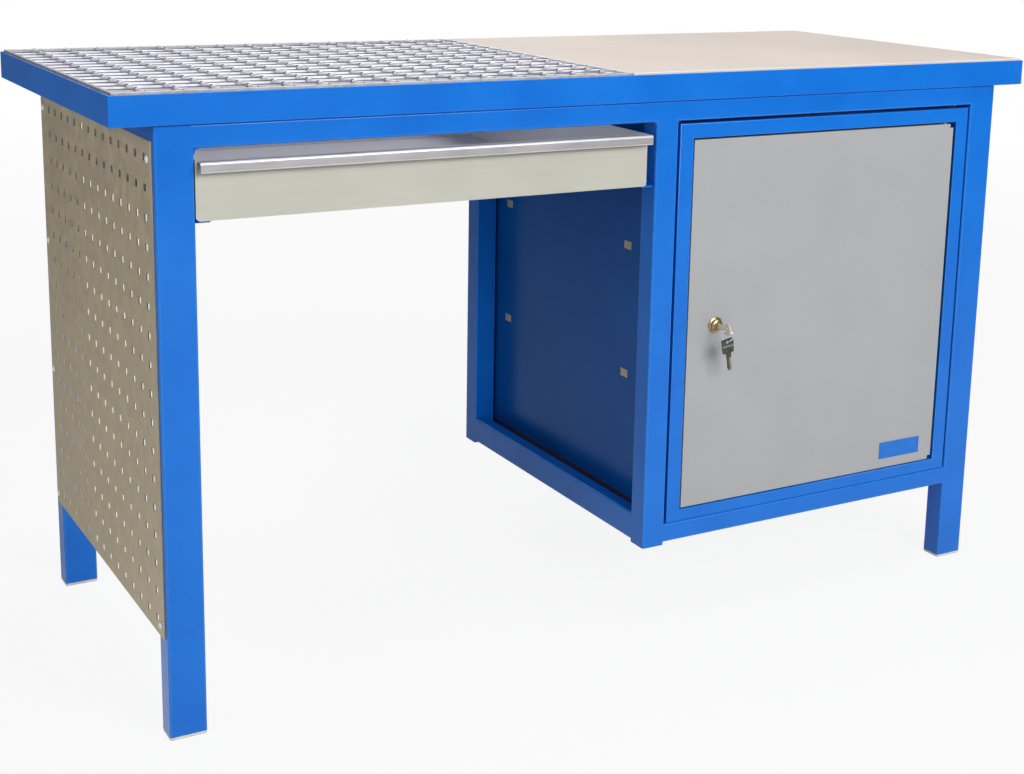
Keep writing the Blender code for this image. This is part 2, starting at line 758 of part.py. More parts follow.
tray = prism("tray", tray_outline(0, tray_top), 1, front_face, tray_rear, tray_steel)
boolean(tray, prism("cut_tray", tray_outline(tray_wall, tray_top + overrun), 1,
                    front_face + tray_wall, tray_rear - tray_wall, None))
handle_back = front_face - gap
handle_front = front_face - handle_reach
handle_bottom = tray_top - handle_height
w = handle_wall
prism("tray_handle", [
    (handle_back, handle_bottom), (handle_back, tray_top), (handle_front, tray_top),
    (handle_front, handle_bottom), (handle_front + handle_hem, handle_bottom),
    (handle_front + handle_hem, handle_bottom + w), (handle_front + w, handle_bottom + w),
    (handle_front + w, tray_top - w), (handle_back - w, tray_top - w),
    (handle_back - w, handle_bottom)], 0, tray_left, tray_right, handle_steel)

runner_top = tray_bottom - gap
for side, face_x, inward in (("left", leg_rights[0] + gap, 1), ("right", post_left - gap, -1)):
    w = runner_wall * inward
    prism(f"runner_{side}", [
        (face_x, runner_top - runner_wall), (face_x + runner_width * inward, runner_top - runner_wall),
        (face_x + runner_width * inward, runner_top), (face_x + w, runner_top),
        (face_x + w, runner_top + runner_upright), (face_x, runner_top + runner_upright)],
        1, leg_fronts[0] + runner_setback, leg_rears[1] - runner_setback, blue)
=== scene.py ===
# %% [markdown]
# # Welding table
# A steel bench for a welder: a loose grating over a sliding tray on the left, a
# thick plate over a door cabinet on the right, all on a frame of painted tube.
# The imported model gives every size and place. This script only dresses it, so
# the first step loads it.

# %% Load the imported model
import json
import math

import bmesh
import bpy
from mathutils import Matrix, Vector


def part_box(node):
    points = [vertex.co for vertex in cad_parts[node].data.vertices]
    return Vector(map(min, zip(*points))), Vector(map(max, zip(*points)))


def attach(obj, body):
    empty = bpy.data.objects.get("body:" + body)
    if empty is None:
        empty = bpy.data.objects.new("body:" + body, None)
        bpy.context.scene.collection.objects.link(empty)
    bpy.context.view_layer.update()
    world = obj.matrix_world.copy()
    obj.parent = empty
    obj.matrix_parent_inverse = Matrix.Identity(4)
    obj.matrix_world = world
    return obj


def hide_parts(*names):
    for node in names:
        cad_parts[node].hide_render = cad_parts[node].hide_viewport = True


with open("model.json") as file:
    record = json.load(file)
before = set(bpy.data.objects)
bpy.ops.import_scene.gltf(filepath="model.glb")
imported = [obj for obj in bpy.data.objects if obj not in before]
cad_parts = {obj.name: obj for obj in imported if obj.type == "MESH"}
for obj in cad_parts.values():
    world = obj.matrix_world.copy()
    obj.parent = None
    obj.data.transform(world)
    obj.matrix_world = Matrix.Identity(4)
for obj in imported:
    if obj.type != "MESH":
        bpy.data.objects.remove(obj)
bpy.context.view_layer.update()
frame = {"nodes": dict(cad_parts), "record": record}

mm = 0.001

# %% [markdown]
# ## Camera
# The photograph was taken with a normal lens from the front left, a little
# above the table's top, and then straightened and cut out. A camera could be
# placed by eye, but matching the table's corners with their pixels is closer,
# and every number below comes from that. A lens shift gives the photograph's
# framing without tilting the camera.

# %% Camera
photo_width, photo_height = 1024, 774
focal = 1621.7                                      # pixels
optical_centre = (557.5, 243)                       # pixels
camera_place = (-1.254524, -2.201027, 1.083632)     # metres
azimuth, elevation, tilt = (math.radians(a) for a in (-30.417, 11.795, 1.298))

lens = bpy.data.cameras.new("photo_camera")
lens.sensor_width = 36
lens.lens = focal / photo_width * lens.sensor_width
lens.shift_x = (photo_width * 0.5 - optical_centre[0]) / photo_width
lens.shift_y = (optical_centre[1] - photo_height * 0.5) / photo_width
camera = bpy.data.objects.new("photo_camera", lens)
camera.matrix_world = (Matrix.Translation(camera_place)
                       @ Matrix.Rotation(azimuth, 4, "Z")
                       @ Matrix.Rotation(math.pi * 0.5 - elevation, 4, "X")
                       @ Matrix.Rotation(tilt, 4, "Z"))
bpy.context.collection.objects.link(camera)
bpy.context.scene.camera = camera
bpy.context.scene.view_settings.view_transform = "Standard"
print("lens", round(lens.lens, 2), "mm, shift", round(lens.shift_x, 3), round(lens.shift_y, 3))

# %% [markdown]
# ## Nodes
# Every material here is a small net of shader nodes. Pictures wrapped round the
# table would also do, but they blur close up, while a net stays sharp and has a
# real size. One helper adds a node: its settings are given by name, and each
# socket takes either a value or the output of another node. Colours are written
# as in a paint program, so one function turns such a hex value into the linear
# light that Blender mixes. A pattern's scale comes from its size in millimetres.

# %% Node and colour helpers
def add(tree, kind, sockets=None, **settings):
    """Add a shader node; a socket takes a value or another node's output."""
    made = tree.nodes.new("ShaderNode" + kind)
    for name, value in settings.items():
        setattr(made, name, value)
    for name, value in (sockets or {}).items():
        if isinstance(value, bpy.types.NodeSocket):
            tree.links.new(value, made.inputs[name])
        else:
            made.inputs[name].default_value = value
    return made


def linear(hex_colour):
    """sRGB hex to linear RGBA."""
    parts = [int(hex_colour[i:i + 2], 16) / 255 for i in (1, 3, 5)]
    return (*[c / 12.92 if c <= 0.04045 else ((c + 0.055) / 1.055) ** 2.4 for c in parts], 1)


def per(size):
    """Noise scale whose features are this many millimetres wide."""
    return 1 / (size * mm)


print("mid grey is", round(linear("#808080")[0], 3), "in linear light")

# %% [markdown]
# ## Lamps
# The photograph is lit by a big soft lamp from the front right: fronts are
# bright, the faces to the left are dull and the open knee space is dark. A
# picture of a studio could light the table, but four soft area lamps are
# plainer, and each can be tuned alone. The key lamp stands high and isn't very
# wide, so that the rim's satin paint hardly mirrors it.

# %% Lamps
def lamp(name, place, aim, size, watts):
    """Rectangular area lamp; place, aim and size are in metres."""
    light = bpy.data.lights.new(name, "AREA")
    light.shape = "RECTANGLE"
    light.size, light.size_y = size
    light.energy = watts
    made = bpy.data.objects.new(name, light)
    made.location = place
    made.rotation_euler = (Vector(aim) - Vector(place)).to_track_quat("-Z", "Y").to_euler()
    bpy.context.collection.objects.link(made)
    return made


lamps = [
    lamp("key_lamp", place=(0.4, -3.6, 2.2), aim=(0.1, 0, 0.4), size=(2.6, 1.6), watts=126),
    lamp("top_lamp", place=(0.45, 0, 2.7), aim=(0.2, 0, 0.8), size=(2.2, 1.0), watts=26),
    lamp("left_lamp", place=(-2.7, -0.5, 1.4), aim=(-0.7, 0, 0.6), size=(1.4, 1.0), watts=19),
    lamp("back_lamp", place=(0.6, 3.0, 2.4), aim=(0, 0, 0.5), size=(2.4, 1.2), watts=28)]
print(len(lamps), "lamps,", sum(made.data.energy for made in lamps), "watts")

# %% [markdown]
# ## Sky
# The photograph's background is pure white. A white world would give that, but
# it would also light the table flat from all sides. A Light Path node parts the
# two: the camera sees white, while the table only gets a dim, slightly blue
# sky that fills the shadows.

# %% Sky
low_sky, high_sky = 0.13, 0.12      # strength at the horizon and above it

world = bpy.data.worlds.new("studio")
bpy.context.scene.world = world
world.use_nodes = True
sky = world.node_tree
sky.nodes.clear()
ray = add(sky, "LightPath").outputs
height = add(sky, "SeparateXYZ", {0: add(sky, "TexCoord").outputs["Generated"]}).outputs["Z"]
dim_up = add(sky, "MapRange", {"Value": height, "From Min": 0.0, "From Max": 0.5,
                               "To Min": low_sky, "To Max": high_sky})
fill = add(sky, "Background", {"Color": linear("#F4F7FF"), "Strength": dim_up.outputs[0]})
backdrop = add(sky, "Background", {"Color": (1, 1, 1, 1), "Strength": 1.0})
shown = add(sky, "MixShader", {0: ray["Is Camera Ray"], 1: fill.outputs[0],
                               2: backdrop.outputs[0]})
add(sky, "OutputWorld", {"Surface": shown.outputs[0]})
print("sky strength", low_sky, "to", high_sky)

# %% [markdown]
# ## Floor
# The table was cut out on white, with only a trace of shadow. A white floor
# under more light would do that too, but it would wash the paint out. So the
# floor is a plain pale grey that takes the shadow, and for the camera it mostly
# glows white. Gloss sees that glow as well, near the table and in front of it:
# the tray and the panel mirror it there, and the rim, which looks far out over
# the floor, doesn't. Behind the table the glow is dimmed for gloss, as a painted
# shadow of the table.

# %% Floor
floor_half = 9.0                    # metres
seen_white = {"From Min": 1.5, "From Max": 6.0, "To Min": 0.9, "To Max": 1.0}
gloss_white = {"From Min": 1.6, "From Max": 3.2, "To Min": 0.86, "To Max": 0.1}
# painted shadow: behind the table the floor glows less for gloss
gloss_shadow_behind = {"From Min": -0.15, "From Max": 0.45, "To Min": 1.0, "To Max": 0.15}

bm = bmesh.new()
bm.faces.new([bm.verts.new((x * floor_half, y * floor_half, 0))
              for x, y in ((-1, -1), (1, -1), (1, 1), (-1, 1))])
floor_mesh = bpy.data.meshes.new("floor")
bm.to_mesh(floor_mesh)
bm.free()
floor = bpy.data.objects.new("floor", floor_mesh)
bpy.context.collection.objects.link(floor)

pale = bpy.data.materials.new("studio_floor")
pale.use_nodes = True
tree = pale.node_tree
tree.nodes.clear()
matt = add(tree, "BsdfDiffuse", {"Color": linear("#CFCFCD")})
glow = add(tree, "Emission", {"Color": (1, 1, 1, 1), "Strength": 1.0})
ray = add(tree, "LightPath").outputs
spot = add(tree, "Mapping", {"Vector": add(tree, "TexCoord").outputs["Object"]})
away = add(tree, "VectorMath", {0: spot.outputs[0]}, operation="LENGTH").outputs["Value"]
depth = add(tree, "SeparateXYZ", {0: spot.outputs[0]}).outputs["Y"]
seen = add(tree, "MapRange", {"Value": away, **seen_white})
near = add(tree, "MapRange", {"Value": away, **gloss_white})
before = add(tree, "MapRange", {"Value": depth, **gloss_shadow_behind})
mirrored = add(tree, "Math", {0: near.outputs[0], 1: before.outputs[0]}, operation="MULTIPLY")
to_camera = add(tree, "Math", {0: ray["Is Camera Ray"], 1: seen.outputs[0]},
                operation="MULTIPLY")
to_gloss = add(tree, "Math", {0: ray["Is Glossy Ray"], 1: mirrored.outputs[0]},
               operation="MULTIPLY")
white_share = add(tree, "Math", {0: to_camera.outputs[0], 1: to_gloss.outputs[0]},
                  operation="MAXIMUM")
mixed = add(tree, "MixShader", {0: white_share.outputs[0], 1: matt.outputs[0],
                                2: glow.outputs[0]})
add(tree, "OutputMaterial", {"Surface": mixed.outputs[0]})
floor_mesh.materials.append(pale)
print("floor", floor_half * 2, "m wide")

# %% [markdown]
# ## Powder coat
# The frame is sprayed with dry polyester powder that melts in an oven. It
# leaves a satin skin with a fine orange peel, a little thinner and so lighter
# on sharp edges. One flat blue would look like moulded plastic, so a slow cloud
# shifts the tone and the edges of each piece show through a little. The peel is
# about 1 mm on the real paint, too fine for this picture, so it is drawn 3 mm
# wide. The side sheets lie in the shade, so their blue is painted deeper and
# duller as painted shade, with a line of painted shade where they meet the rails.

# %% Starting a material
finishes = {}


def start(name):
    """New material with its shader and its coordinates in metres."""
    made = bpy.data.materials.new(name)
    made.use_nodes = True
    finishes[name] = made
    tree = made.node_tree
    return tree, tree.nodes["Principled BSDF"], add(tree, "TexCoord").outputs["Object"]


def shade(tree, shader, **sockets):
    """Set or link the shader's sockets; names have _ for a space."""
    for name, value in sockets.items():
        socket = shader.inputs[name.replace("_", " ")]
        if isinstance(value, bpy.types.NodeSocket):
            tree.links.new(value, socket)
        else:
            socket.default_value = value


print("ready for finishes")

# %% Powder coat
coat_cloud, peel_size, thin_patch = 140, 3, 9       # mm
peel_height = 0.15                                  # mm
satin = {"To Min": 0.17, "To Max": 0.29}            # roughness
# painted shade: the near-black of the gap under each side sheet
gap_shade_colour = "#4A3232"


def powder_coat(name, colour, light, dark, edge_colour, gloss=0.32, mark=None):
    """Satin paint; gloss is its specular level, mark a mask for a line of painted shade."""
    tree, shader, where = start(name)
    cloud = add(tree, "TexNoise", {"Vector": where, "Scale": per(coat_cloud), "Detail": 3})
    tone = add(tree, "ValToRGB", {"Fac": cloud.outputs[0]})
    tone.color_ramp.elements[0].position = 0.35
    tone.color_ramp.elements[0].color = linear(dark)
    tone.color_ramp.elements[1].position = 0.65
    tone.color_ramp.elements[1].color = linear(light)
    middle = tone.color_ramp.elements.new(0.5)
    middle.color = linear(colour)
    peel = add(tree, "TexNoise", {"Vector": where, "Scale": per(peel_size), "Detail": 2})
    grain = add(tree, "MixRGB", {"Fac": 0.05, "Color1": tone.outputs[0],
                                 "Color2": peel.outputs[1]}, blend_type="SOFT_LIGHT")
    edge = add(tree, "Attribute", attribute_name="edge").outputs["Fac"]
    patchy = add(tree, "TexNoise", {"Vector": where, "Scale": per(thin_patch), "Detail": 4})
    thin = add(tree, "Math", {0: edge, 1: patchy.outputs[0]}, operation="MULTIPLY")
    final = add(tree, "MixRGB", {"Fac": thin.outputs[0], "Color1": grain.outputs[0],
                                 "Color2": linear(edge_colour)})
    if mark:
        final = add(tree, "MixRGB", {"Fac": mark(tree, where), "Color1": final.outputs[0],
                                     "Color2": linear(gap_shade_colour)})
    rough = add(tree, "MapRange", {"Value": peel.outputs[0], **satin})
    bump = add(tree, "Bump", {"Height": peel.outputs[0], "Strength": 0.18,
                              "Distance": peel_height * mm})
    shade(tree, shader, Base_Color=final.outputs[0], Roughness=rough.outputs[0],
          Normal=bump.outputs[0], IOR=1.5, Specular_IOR_Level=gloss)


def painted_gap_shade(tree, where):
    """A thin dark line of painted shade along the side sheet's foot, in the gap over the rail."""
    height = add(tree, "SeparateXYZ", {0: where}).outputs["Z"]
    line_drop, line_fade = 5.6 * mm, 0.4 * mm       # under the rail's top
    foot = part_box("lower_rail_left")[1].z - line_drop
    return add(tree, "MapRange", {"Value": height, "From Min": foot, "From Max": foot - line_fade,
                                  "To Max": 0.9}).outputs[0]


# Strong clean blue with a soft sheen, a shade lighter on every edge.
powder_coat("blue_powder_coat", "#0D6FD2", "#1273D6", "#0A6ACD", "#2F83DC")
# Deeper and duller blue as painted shade on the shaded side sheets, with a line of painted shade
# where the sheet meets the rail.
powder_coat("dark_blue_sheet_coat", "#0859AA", "#0A5CAE", "#0656A6", "#2A72BC", 0.14,
            painted_gap_shade)
# Even, neutral grey that hardly shines, so the door reads as one calm face.
powder_coat("grey_powder_coat", "#A8A9AB", "#AAABAD", "#A6A7A8", "#BDBEC1")
print("powder coats", list(finishes))

# %% [markdown]
# ## Bare and zinc coated steel
# Five steels, told apart by how they were made. The grating is hot dip
# galvanised, the deck is rolled plate, the tray and its handle are cold rolled
# sheet, and the panel is zinc coated sheet gone dull. Each could have a net of
# its own, but all share one build: cloudy colour, lines along one way, and a
# roughness that follows both. So one function draws them. A mark is a mask that
# lays a second colour on top, such as the grating's painted shade, or the tray's
# inside painted paler as painted light.
# Clean metal would have metallic 1, but zinc oxide, scale and oil scatter light
# as paint does, so these steels lie between the two. Brushing and rolling marks
# are about a tenth of a millimetre wide on the real sheet, too fine to show
# here, so they are drawn 2.5 to 5 mm wide.

# %% Steel
# mixed onto rounded edges: rubbed wear, and on the handle's folds also a painted highlight
rubbed_edge_highlight = "#F2F1EE"


# the default mark colour is the dark grey of the grating's painted shade
def steel(name, light, dark, cloud_size, line_size, line_ratio, along, rough, metal,
          bump_height, spangle=0, mark=None, mark_colour="#555065"):
    """Cloudy steel with fine lines along one axis; sizes in mm, spangle is a crystal's."""
    tree, shader, where = start(name)
    stretch = [1.0, 1.0, 1.0]
    stretch[along] = line_ratio
    lines_at = add(tree, "Mapping", {"Vector": where, "Scale": stretch})
    cloud = add(tree, "TexNoise", {"Vector": where, "Scale": per(cloud_size), "Detail": 4})
    lines = add(tree, "TexNoise", {"Vector": lines_at.outputs[0], "Scale": per(line_size),
                                   "Detail": 3})
    blend = add(tree, "Math", {0: cloud.outputs[0], 1: lines.outputs[0]}, operation="ADD")
    both = add(tree, "Math", {0: blend.outputs[0], 1: 0.5}, operation="MULTIPLY")
    pattern = both.outputs[0]
    if spangle:
        crystal = add(tree, "TexVoronoi", {"Vector": where, "Scale": per(spangle)})
        glint = add(tree, "SeparateColor", {"Color": crystal.outputs["Color"]})
        pattern = add(tree, "Mix", {"Factor": 0.35, "A": pattern,
                                    "B": glint.outputs[0]}).outputs[0]
    tone = add(tree, "ValToRGB", {"Fac": pattern})
    tone.color_ramp.elements[0].position = 0.36
    tone.color_ramp.elements[0].color = linear(dark)
    tone.color_ramp.elements[1].position = 0.64
    tone.color_ramp.elements[1].color = linear(light)
    edge = add(tree, "Attribute", attribute_name="edge").outputs["Fac"]
    rubbed_and_highlit = add(tree, "Math", {0: edge, 1: lines.outputs[0]}, operation="MULTIPLY")
    bright = add(tree, "MixRGB", {"Fac": rubbed_and_highlit.outputs[0], "Color1": tone.outputs[0],
                                  "Color2": linear(rubbed_edge_highlight)})
    if mark:
        bright = add(tree, "MixRGB", {"Fac": mark(tree, where), "Color1": bright.outputs[0],
                                      "Color2": linear(mark_colour)})
    roughness = add(tree, "MapRange", {"Value": pattern, "From Min": 0.3, "From Max": 0.7,
                                       "To Min": rough - 0.07, "To Max": rough + 0.07})
    bump = add(tree, "Bump", {"Height": lines.outputs[0], "Strength": 0.3,
                              "Distance": bump_height * mm})
    shade(tree, shader, Base_Color=bright.outputs[0], Roughness=roughness.outputs[0],
          Normal=bump.outputs[0], Metallic=metal)


def inside(tree, where):
    """The tray's inside, behind its front wall, painted paler as painted light."""
    wall_start, wall_end = 2 * mm, 3 * mm
    depth = add(tree, "SeparateXYZ", {0: where}).outputs["Y"]
    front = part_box("tray")[0].y
    return add(tree, "MapRange", {"Value": depth, "From Min": front + wall_start,
                                  "From Max": front + wall_end}).outputs[0]


print("one net for every steel")

# %% Steels of deck, tray and panel
# Bright, nearly white zinc skin with soft crystals, which mirrors nothing clearly.
zinc_look = dict(light="#FAFAFE", dark="#E8E8EF", cloud_size=30, line_size=2.5, line_ratio=0.2,
                 along=0, rough=0.46, metal=0.1, bump_height=0.06, spangle=9)
steel("galvanised_grating", **zinc_look)
# Warm, pale and matt, with long faint lines: the rolling scale scatters light.
steel("rolled_plate", "#DDD2C8", "#D4C9BF", cloud_size=190, line_size=5, line_ratio=0.04,
      along=0, rough=0.72, metal=0.1, bump_height=0.05)
# Satin and a little green, brushed lengthways; the inside is painted paler, as painted light.
steel("cold_rolled_tray", "#C0BFB3", "#BAB9AD", cloud_size=120, line_size=3, line_ratio=0.03,
      along=0, rough=0.5, metal=0.15, bump_height=0.03, mark=inside, mark_colour="#E2E2E7")
# Rubbed bright by hands, with each fold painted lighter as a painted highlight, a line of light.
steel("bright_handle", "#B9B6B9", "#A9A7AA", cloud_size=60, line_size=2.5, line_ratio=0.03,
      along=0, rough=0.38, metal=0.5, bump_height=0.03)
# Warm drab sheet whose large crystals only show as slight patches.
steel("dull_zinc_sheet", "#CABC9F", "#BEB094", cloud_size=90, line_size=4, line_ratio=0.3,
      along=2, rough=0.5, metal=0.35, bump_height=0.02, spangle=14)
print("steels", [n for n in finishes if "coat" not in n])

# %% [markdown]
# ## Lock metals, plastic and film
# The lock is turned brass, polished. Keys are nickel plated: the one in the
# lock has worn to brass and is painted pale, a painted highlight on its flat
# face turned to the light; the spare one is dark. The ring is bright spring
# wire, foot caps are moulded polyethylene and the label is a plain blue film.
# They are small in the picture, so plain colours would nearly do. One fine
# noise for tone, roughness and bump keeps them from looking flat close up.
# Its marks are drawn coarser than the real scratches, or they wouldn't show.

# %% Small finishes
def small_finish(name, light, dark, mark_size, rough, metal, bump_height, ior=None):
    """Finely marked finish; mark_size and bump_height are in mm."""
    tree, shader, where = start(name)
    marks = add(tree, "TexNoise", {"Vector": where, "Scale": per(mark_size), "Detail": 3})
    tone = add(tree, "ValToRGB", {"Fac": marks.outputs[0]})
    tone.color_ramp.elements[0].position = 0.35
    tone.color_ramp.elements[0].color = linear(dark)
    tone.color_ramp.elements[1].position = 0.65
    tone.color_ramp.elements[1].color = linear(light)
    roughness = add(tree, "MapRange", {"Value": marks.outputs[0], "To Min": rough - 0.06,
                                       "To Max": rough + 0.08})
    bump = add(tree, "Bump", {"Height": marks.outputs[0], "Strength": 0.25,
                              "Distance": bump_height * mm})
    shade(tree, shader, Base_Color=tone.outputs[0], Roughness=roughness.outputs[0],
          Normal=bump.outputs[0], Metallic=metal)
    if ior:
        shader.inputs["IOR"].default_value = ior


# Warm and shiny, with one bright spot on each slope of the turned face.
small_finish("turned_brass", "#B4A47C", "#9C8C66", mark_size=2.5, rough=0.3, metal=0.85,
             bump_height=0.003)
# Soft yellow grey where the milled blade is bare.
small_finish("worn_key_brass", "#9C9370", "#7D7553", mark_size=2, rough=0.4, metal=0.6,
             bump_height=0.02)
# Nearly cream, a painted highlight: a flat key turned to the light.
small_finish("pale_key_brass", "#E6E1CC", "#CFC8AF", mark_size=2, rough=0.36, metal=0.2,
             bump_height=0.02)
# Lighter, rubbed band on the dark spare key.
small_finish("worn_nickel", "#8A8C80", "#74766B", mark_size=2, rough=0.42, metal=0.5,
             bump_height=0.02)
# Dark grey green plate that stands out against the pale door.
small_finish("dark_nickel_plate", "#63665F", "#474A45", mark_size=3, rough=0.36, metal=0.9,
             bump_height=0.02)
# Clear thin highlights that draw the ring.
small_finish("spring_wire", "#E9E9EA", "#CFCFD2", mark_size=2, rough=0.18, metal=1.0,
             bump_height=0.01)
# Milky and soft, with a weak wide sheen.
small_finish("milky_polyethylene", "#E4E2DA", "#D5D2C8", mark_size=8, rough=0.55, metal=0.0,
             bump_height=0.08, ior=1.51)
# The frame's blue again, but flat and even, as a printed film is.
small_finish("blue_label_film", "#1073D2", "#0E6AC8", mark_size=12, rough=0.45, metal=0.0,
             bump_height=0.02, ior=1.49)
print(len(finishes), "finishes so far")

# %% [markdown]
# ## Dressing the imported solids
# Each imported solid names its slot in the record, so its finish follows from
# that, with a short list of exceptions. Every solid could be drawn again, but
# walls and shelves already have the right shape and only need this.

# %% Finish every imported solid
slot_finish = {
    "blue_paint": "blue_powder_coat", "grey_paint": "grey_powder_coat",
    "zinc": "galvanised_grating", "plate_steel": "rolled_plate",
    "tray_steel": "cold_rolled_tray", "handle_steel": "bright_handle",
    "panel_steel": "dull_zinc_sheet", "brass": "turned_brass",
    "dark_nickel": "dark_nickel_plate", "ring_steel": "spring_wire",
    "foot_plastic": "milky_polyethylene", "label_blue": "blue_label_film"}
node_finish = {
    "key": "pale_key_brass", "shelf_lower": "dull_zinc_sheet", "shelf_upper": "dull_zinc_sheet",
    "cabinet_left_side": "dark_blue_sheet_coat", "cabinet_right_side": "dark_blue_sheet_coat"}

slot_of = {part["node"]: part["material_slot"] for part in frame["record"]["subparts"]}
body_of = {node: body for body, nodes in frame["record"]["behaviour"]["bodies"].items()
           for node in nodes}
finish_of = {node: finishes[node_finish.get(node, slot_finish[slot_of[node]])]
             for node in frame["nodes"]}
for node, made in frame["nodes"].items():
    made.data.materials.clear()
    made.data.materials.append(finish_of[node])
print("finished", len(frame["nodes"]), "solids")

# %% [markdown]
# ## Turning a mesh into a piece
# A new piece gets the finish of the solid it stands for and rides on the same
# body, so it moves with the same joint. Its edge bands are marked, so that the
# paint can be thinner there. Masks painted by hand would do that too, but on
# this square-cut table a rule is enough: a face that looks along none of the
# three axes is a rounded edge. The shading is smooth, weighted by face size,
# which keeps the flats flat.

# %% Piece
merge_within = 0.001 * mm
flat_share = 0.99           # of a face's normal along one axis, above it the face is flat


def piece(name, bm, node, hide=True, flat_angle=50, finish=None):
    """Make an object of a bmesh in the place of one node, or beside it."""
    bmesh.ops.remove_doubles(bm, verts=bm.verts, dist=merge_within)
    bmesh.ops.recalc_face_normals(bm, faces=bm.faces)
    mesh = bpy.data.meshes.new(name)
    bm.to_mesh(mesh)
    bm.free()
    mesh.shade_smooth()
    mesh.set_sharp_from_angle(angle=math.radians(flat_angle))
    edge = mesh.attributes.new("edge", "FLOAT", "CORNER")
    values = [0.0] * len(mesh.loops)
    for face in mesh.polygons:
        if max(abs(c) for c in face.normal) < flat_share:
            for corner in face.loop_indices:
                values[corner] = 1.0
    edge.data.foreach_set("value", values)
    made = bpy.data.objects.new(name, mesh)
    bpy.context.collection.objects.link(made)
    mesh.materials.append(finishes[finish] if finish else finish_of[node])
    weighted = made.modifiers.new("even_shading", "WEIGHTED_NORMAL")
    weighted.keep_sharp = True
    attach(made, body_of[node])
    if hide:
        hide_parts(node)
    return made


print("a piece rides on one of", sorted(set(body_of.values())))

# %% [markdown]
# ## Outlines and rings
# Tube, bar, angle and folded strip all have one section along their length, and
# turned parts are rings round a line. A curve with a bevel object would sweep a
# section too, but rings of points joined by quads give the ends, the hollow
# inside and the mitres exactly. So a section is a flat outline with rounded
# corners, stood across an axis at each place where the piece changes.

# %% Skin over rings
def skin(bm, rings, closed=False, caps=True):
    """Join equal rings with quads; cap the ends, or close the row on itself."""
    rows = [[bm.verts.new(p) for p in ring] for ring in rings]
    if caps and not closed:
        bm.faces.new(rows[0])
        bm.faces.new(rows[-1])
    for a, b in zip(rows, rows[1:] + (rows[:1] if closed else [])):
        for i in range(len(a)):
            j = (i + 1) % len(a)
            bm.faces.new((a[i], a[j], b[j], b[i]))
    return rows


def across(points, axis, level):
    """Stand a flat outline across one axis."""
    u, v = [i for i in range(3) if i != axis]
    out = []
    for a, b in points:
        p = [level] * 3
        p[u], p[v] = a, b
        out.append(p)
    return out


print("skin ready")

# %% Rounded outlines
def rounded(corners, steps=4):
    """Round a flat outline; each corner is (a, b, radius)."""
    points = []
    for i, (a, b, radius) in enumerate(corners):
        here = Vector((a, b))
        before = (Vector(corners[i - 1][:2]) - here).normalized()
        after = (Vector(corners[(i + 1) % len(corners)][:2]) - here).normalized()
        half = before.angle(after) * 0.5
        middle = here + (before + after).normalized() * (radius / math.sin(half))
        arm = here + before * (radius / math.tan(half)) - middle
        sweep = math.pi - 2 * half
        turn = 1 if before.x * after.y - before.y * after.x < 0 else -1
        for k in range(steps + 1):
            c, s = math.cos(turn * sweep * k / steps), math.sin(turn * sweep * k / steps)
            points.append((middle.x + arm.x * c - arm.y * s, middle.y + arm.x * s + arm.y * c))
    return points


def oblong(lo, hi, radius):
    """Corners of a rectangle, each with the same radius."""
    return [(lo[0], lo[1], radius), (hi[0], lo[1], radius),
            (hi[0], hi[1], radius), (lo[0], hi[1], radius)]


print("a rounded oblong has", len(rounded(oblong((0, 0), (2, 1), 0.1))), "points")

# %% [markdown]
# ## Tubes of the frame
# Rectangular tube is rolled from strip, so its long corners are round: about
# 3 mm outside on this wall. A box with a Bevel modifier would also give that,
# but a swept outline gives the hollow inside and lets a rail run a little into
# the leg it is welded to. There the weld is ground flush, so on the front the
# joint can't be seen at all.

# %% Frame tubes
wall, roll = 2 * mm, 3 * mm     # of the tube, and its outer corner
weld_gap = 0.3 * mm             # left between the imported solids
crevice = 0.9 * mm              # left over a leg's top, the dark line under the rim
run = roll + weld_gap           # into the neighbour, past its rolled corner


def tube(node, axis, run_in=(0, 0)):
    """Rolled tube in the place of a node, its ends run on into its neighbours."""
    lo, hi = (list(p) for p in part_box(node))
    lo[axis] -= run_in[0]
    hi[axis] += run_in[1]
    u, v = [i for i in range(3) if i != axis]
    outer = rounded(oblong((lo[u], lo[v]), (hi[u], hi[v]), roll))
    inner = rounded(oblong((lo[u] + wall, lo[v] + wall), (hi[u] - wall, hi[v] - wall),
                           roll - wall))
    bm = bmesh.new()
    skin(bm, [across(outer, axis, lo[axis]), across(outer, axis, hi[axis]),
              across(inner, axis, hi[axis]), across(inner, axis, lo[axis])], closed=True)
    return piece(node + "_tube", bm, node)


for end in ("front", "rear"):
    for side in ("left", "right"):
        tube(f"leg_{end}_{side}", 2, (0, -crevice))
    tube(f"post_{end}", 2, (0, run))
    tube(f"top_rail_{end}", 0, (run, run))
    tube(f"lower_rail_{end}", 0, (run, run))
for node in ("top_rail_left", "top_rail_right", "top_rail_middle",
             "lower_rail_left", "lower_rail_right"):
    tube(node, 1, (run, run))
for side in ("left", "right"):
    tube(f"plate_bearer_{side}", 1)
print("tubes rolled at", roll / mm, "mm")

# %% [markdown]
# ## Rim
# The rim is hot rolled angle, mitred and welded at the corners and ground
# there. Four beams cut by a Boolean would show a seam and a sharp corner. Here
# one outline of the angle is swept along each side and turned half way round
# the corner, so that four separate pieces meet without a seam and share the
# small round corner that the ground weld has.

# %% Rim angles
rim_lo, rim_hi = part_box("rim_front")[0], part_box("rim_rear")[1]
rim_wall, ledge = 4 * mm, 30 * mm
corner_round, corner_steps = 2.2 * mm, 3
ledge_top = rim_lo.z + rim_wall
# The angle's corners are (depth, height, radius), from the outer foot round.
angle_outline = rounded([
    (0, rim_lo.z, 1.2 * mm), (ledge, rim_lo.z, 0.5 * mm), (ledge, ledge_top, 2 * mm),
    (rim_wall, ledge_top, 0.9 * mm), (rim_wall, rim_hi.z, 0.7 * mm),
    (0, rim_hi.z, 0.9 * mm)], 3)
middle = (rim_lo + rim_hi) * 0.5
half_x, half_y = (rim_hi.x - rim_lo.x) * 0.5, (rim_hi.y - rim_lo.y) * 0.5


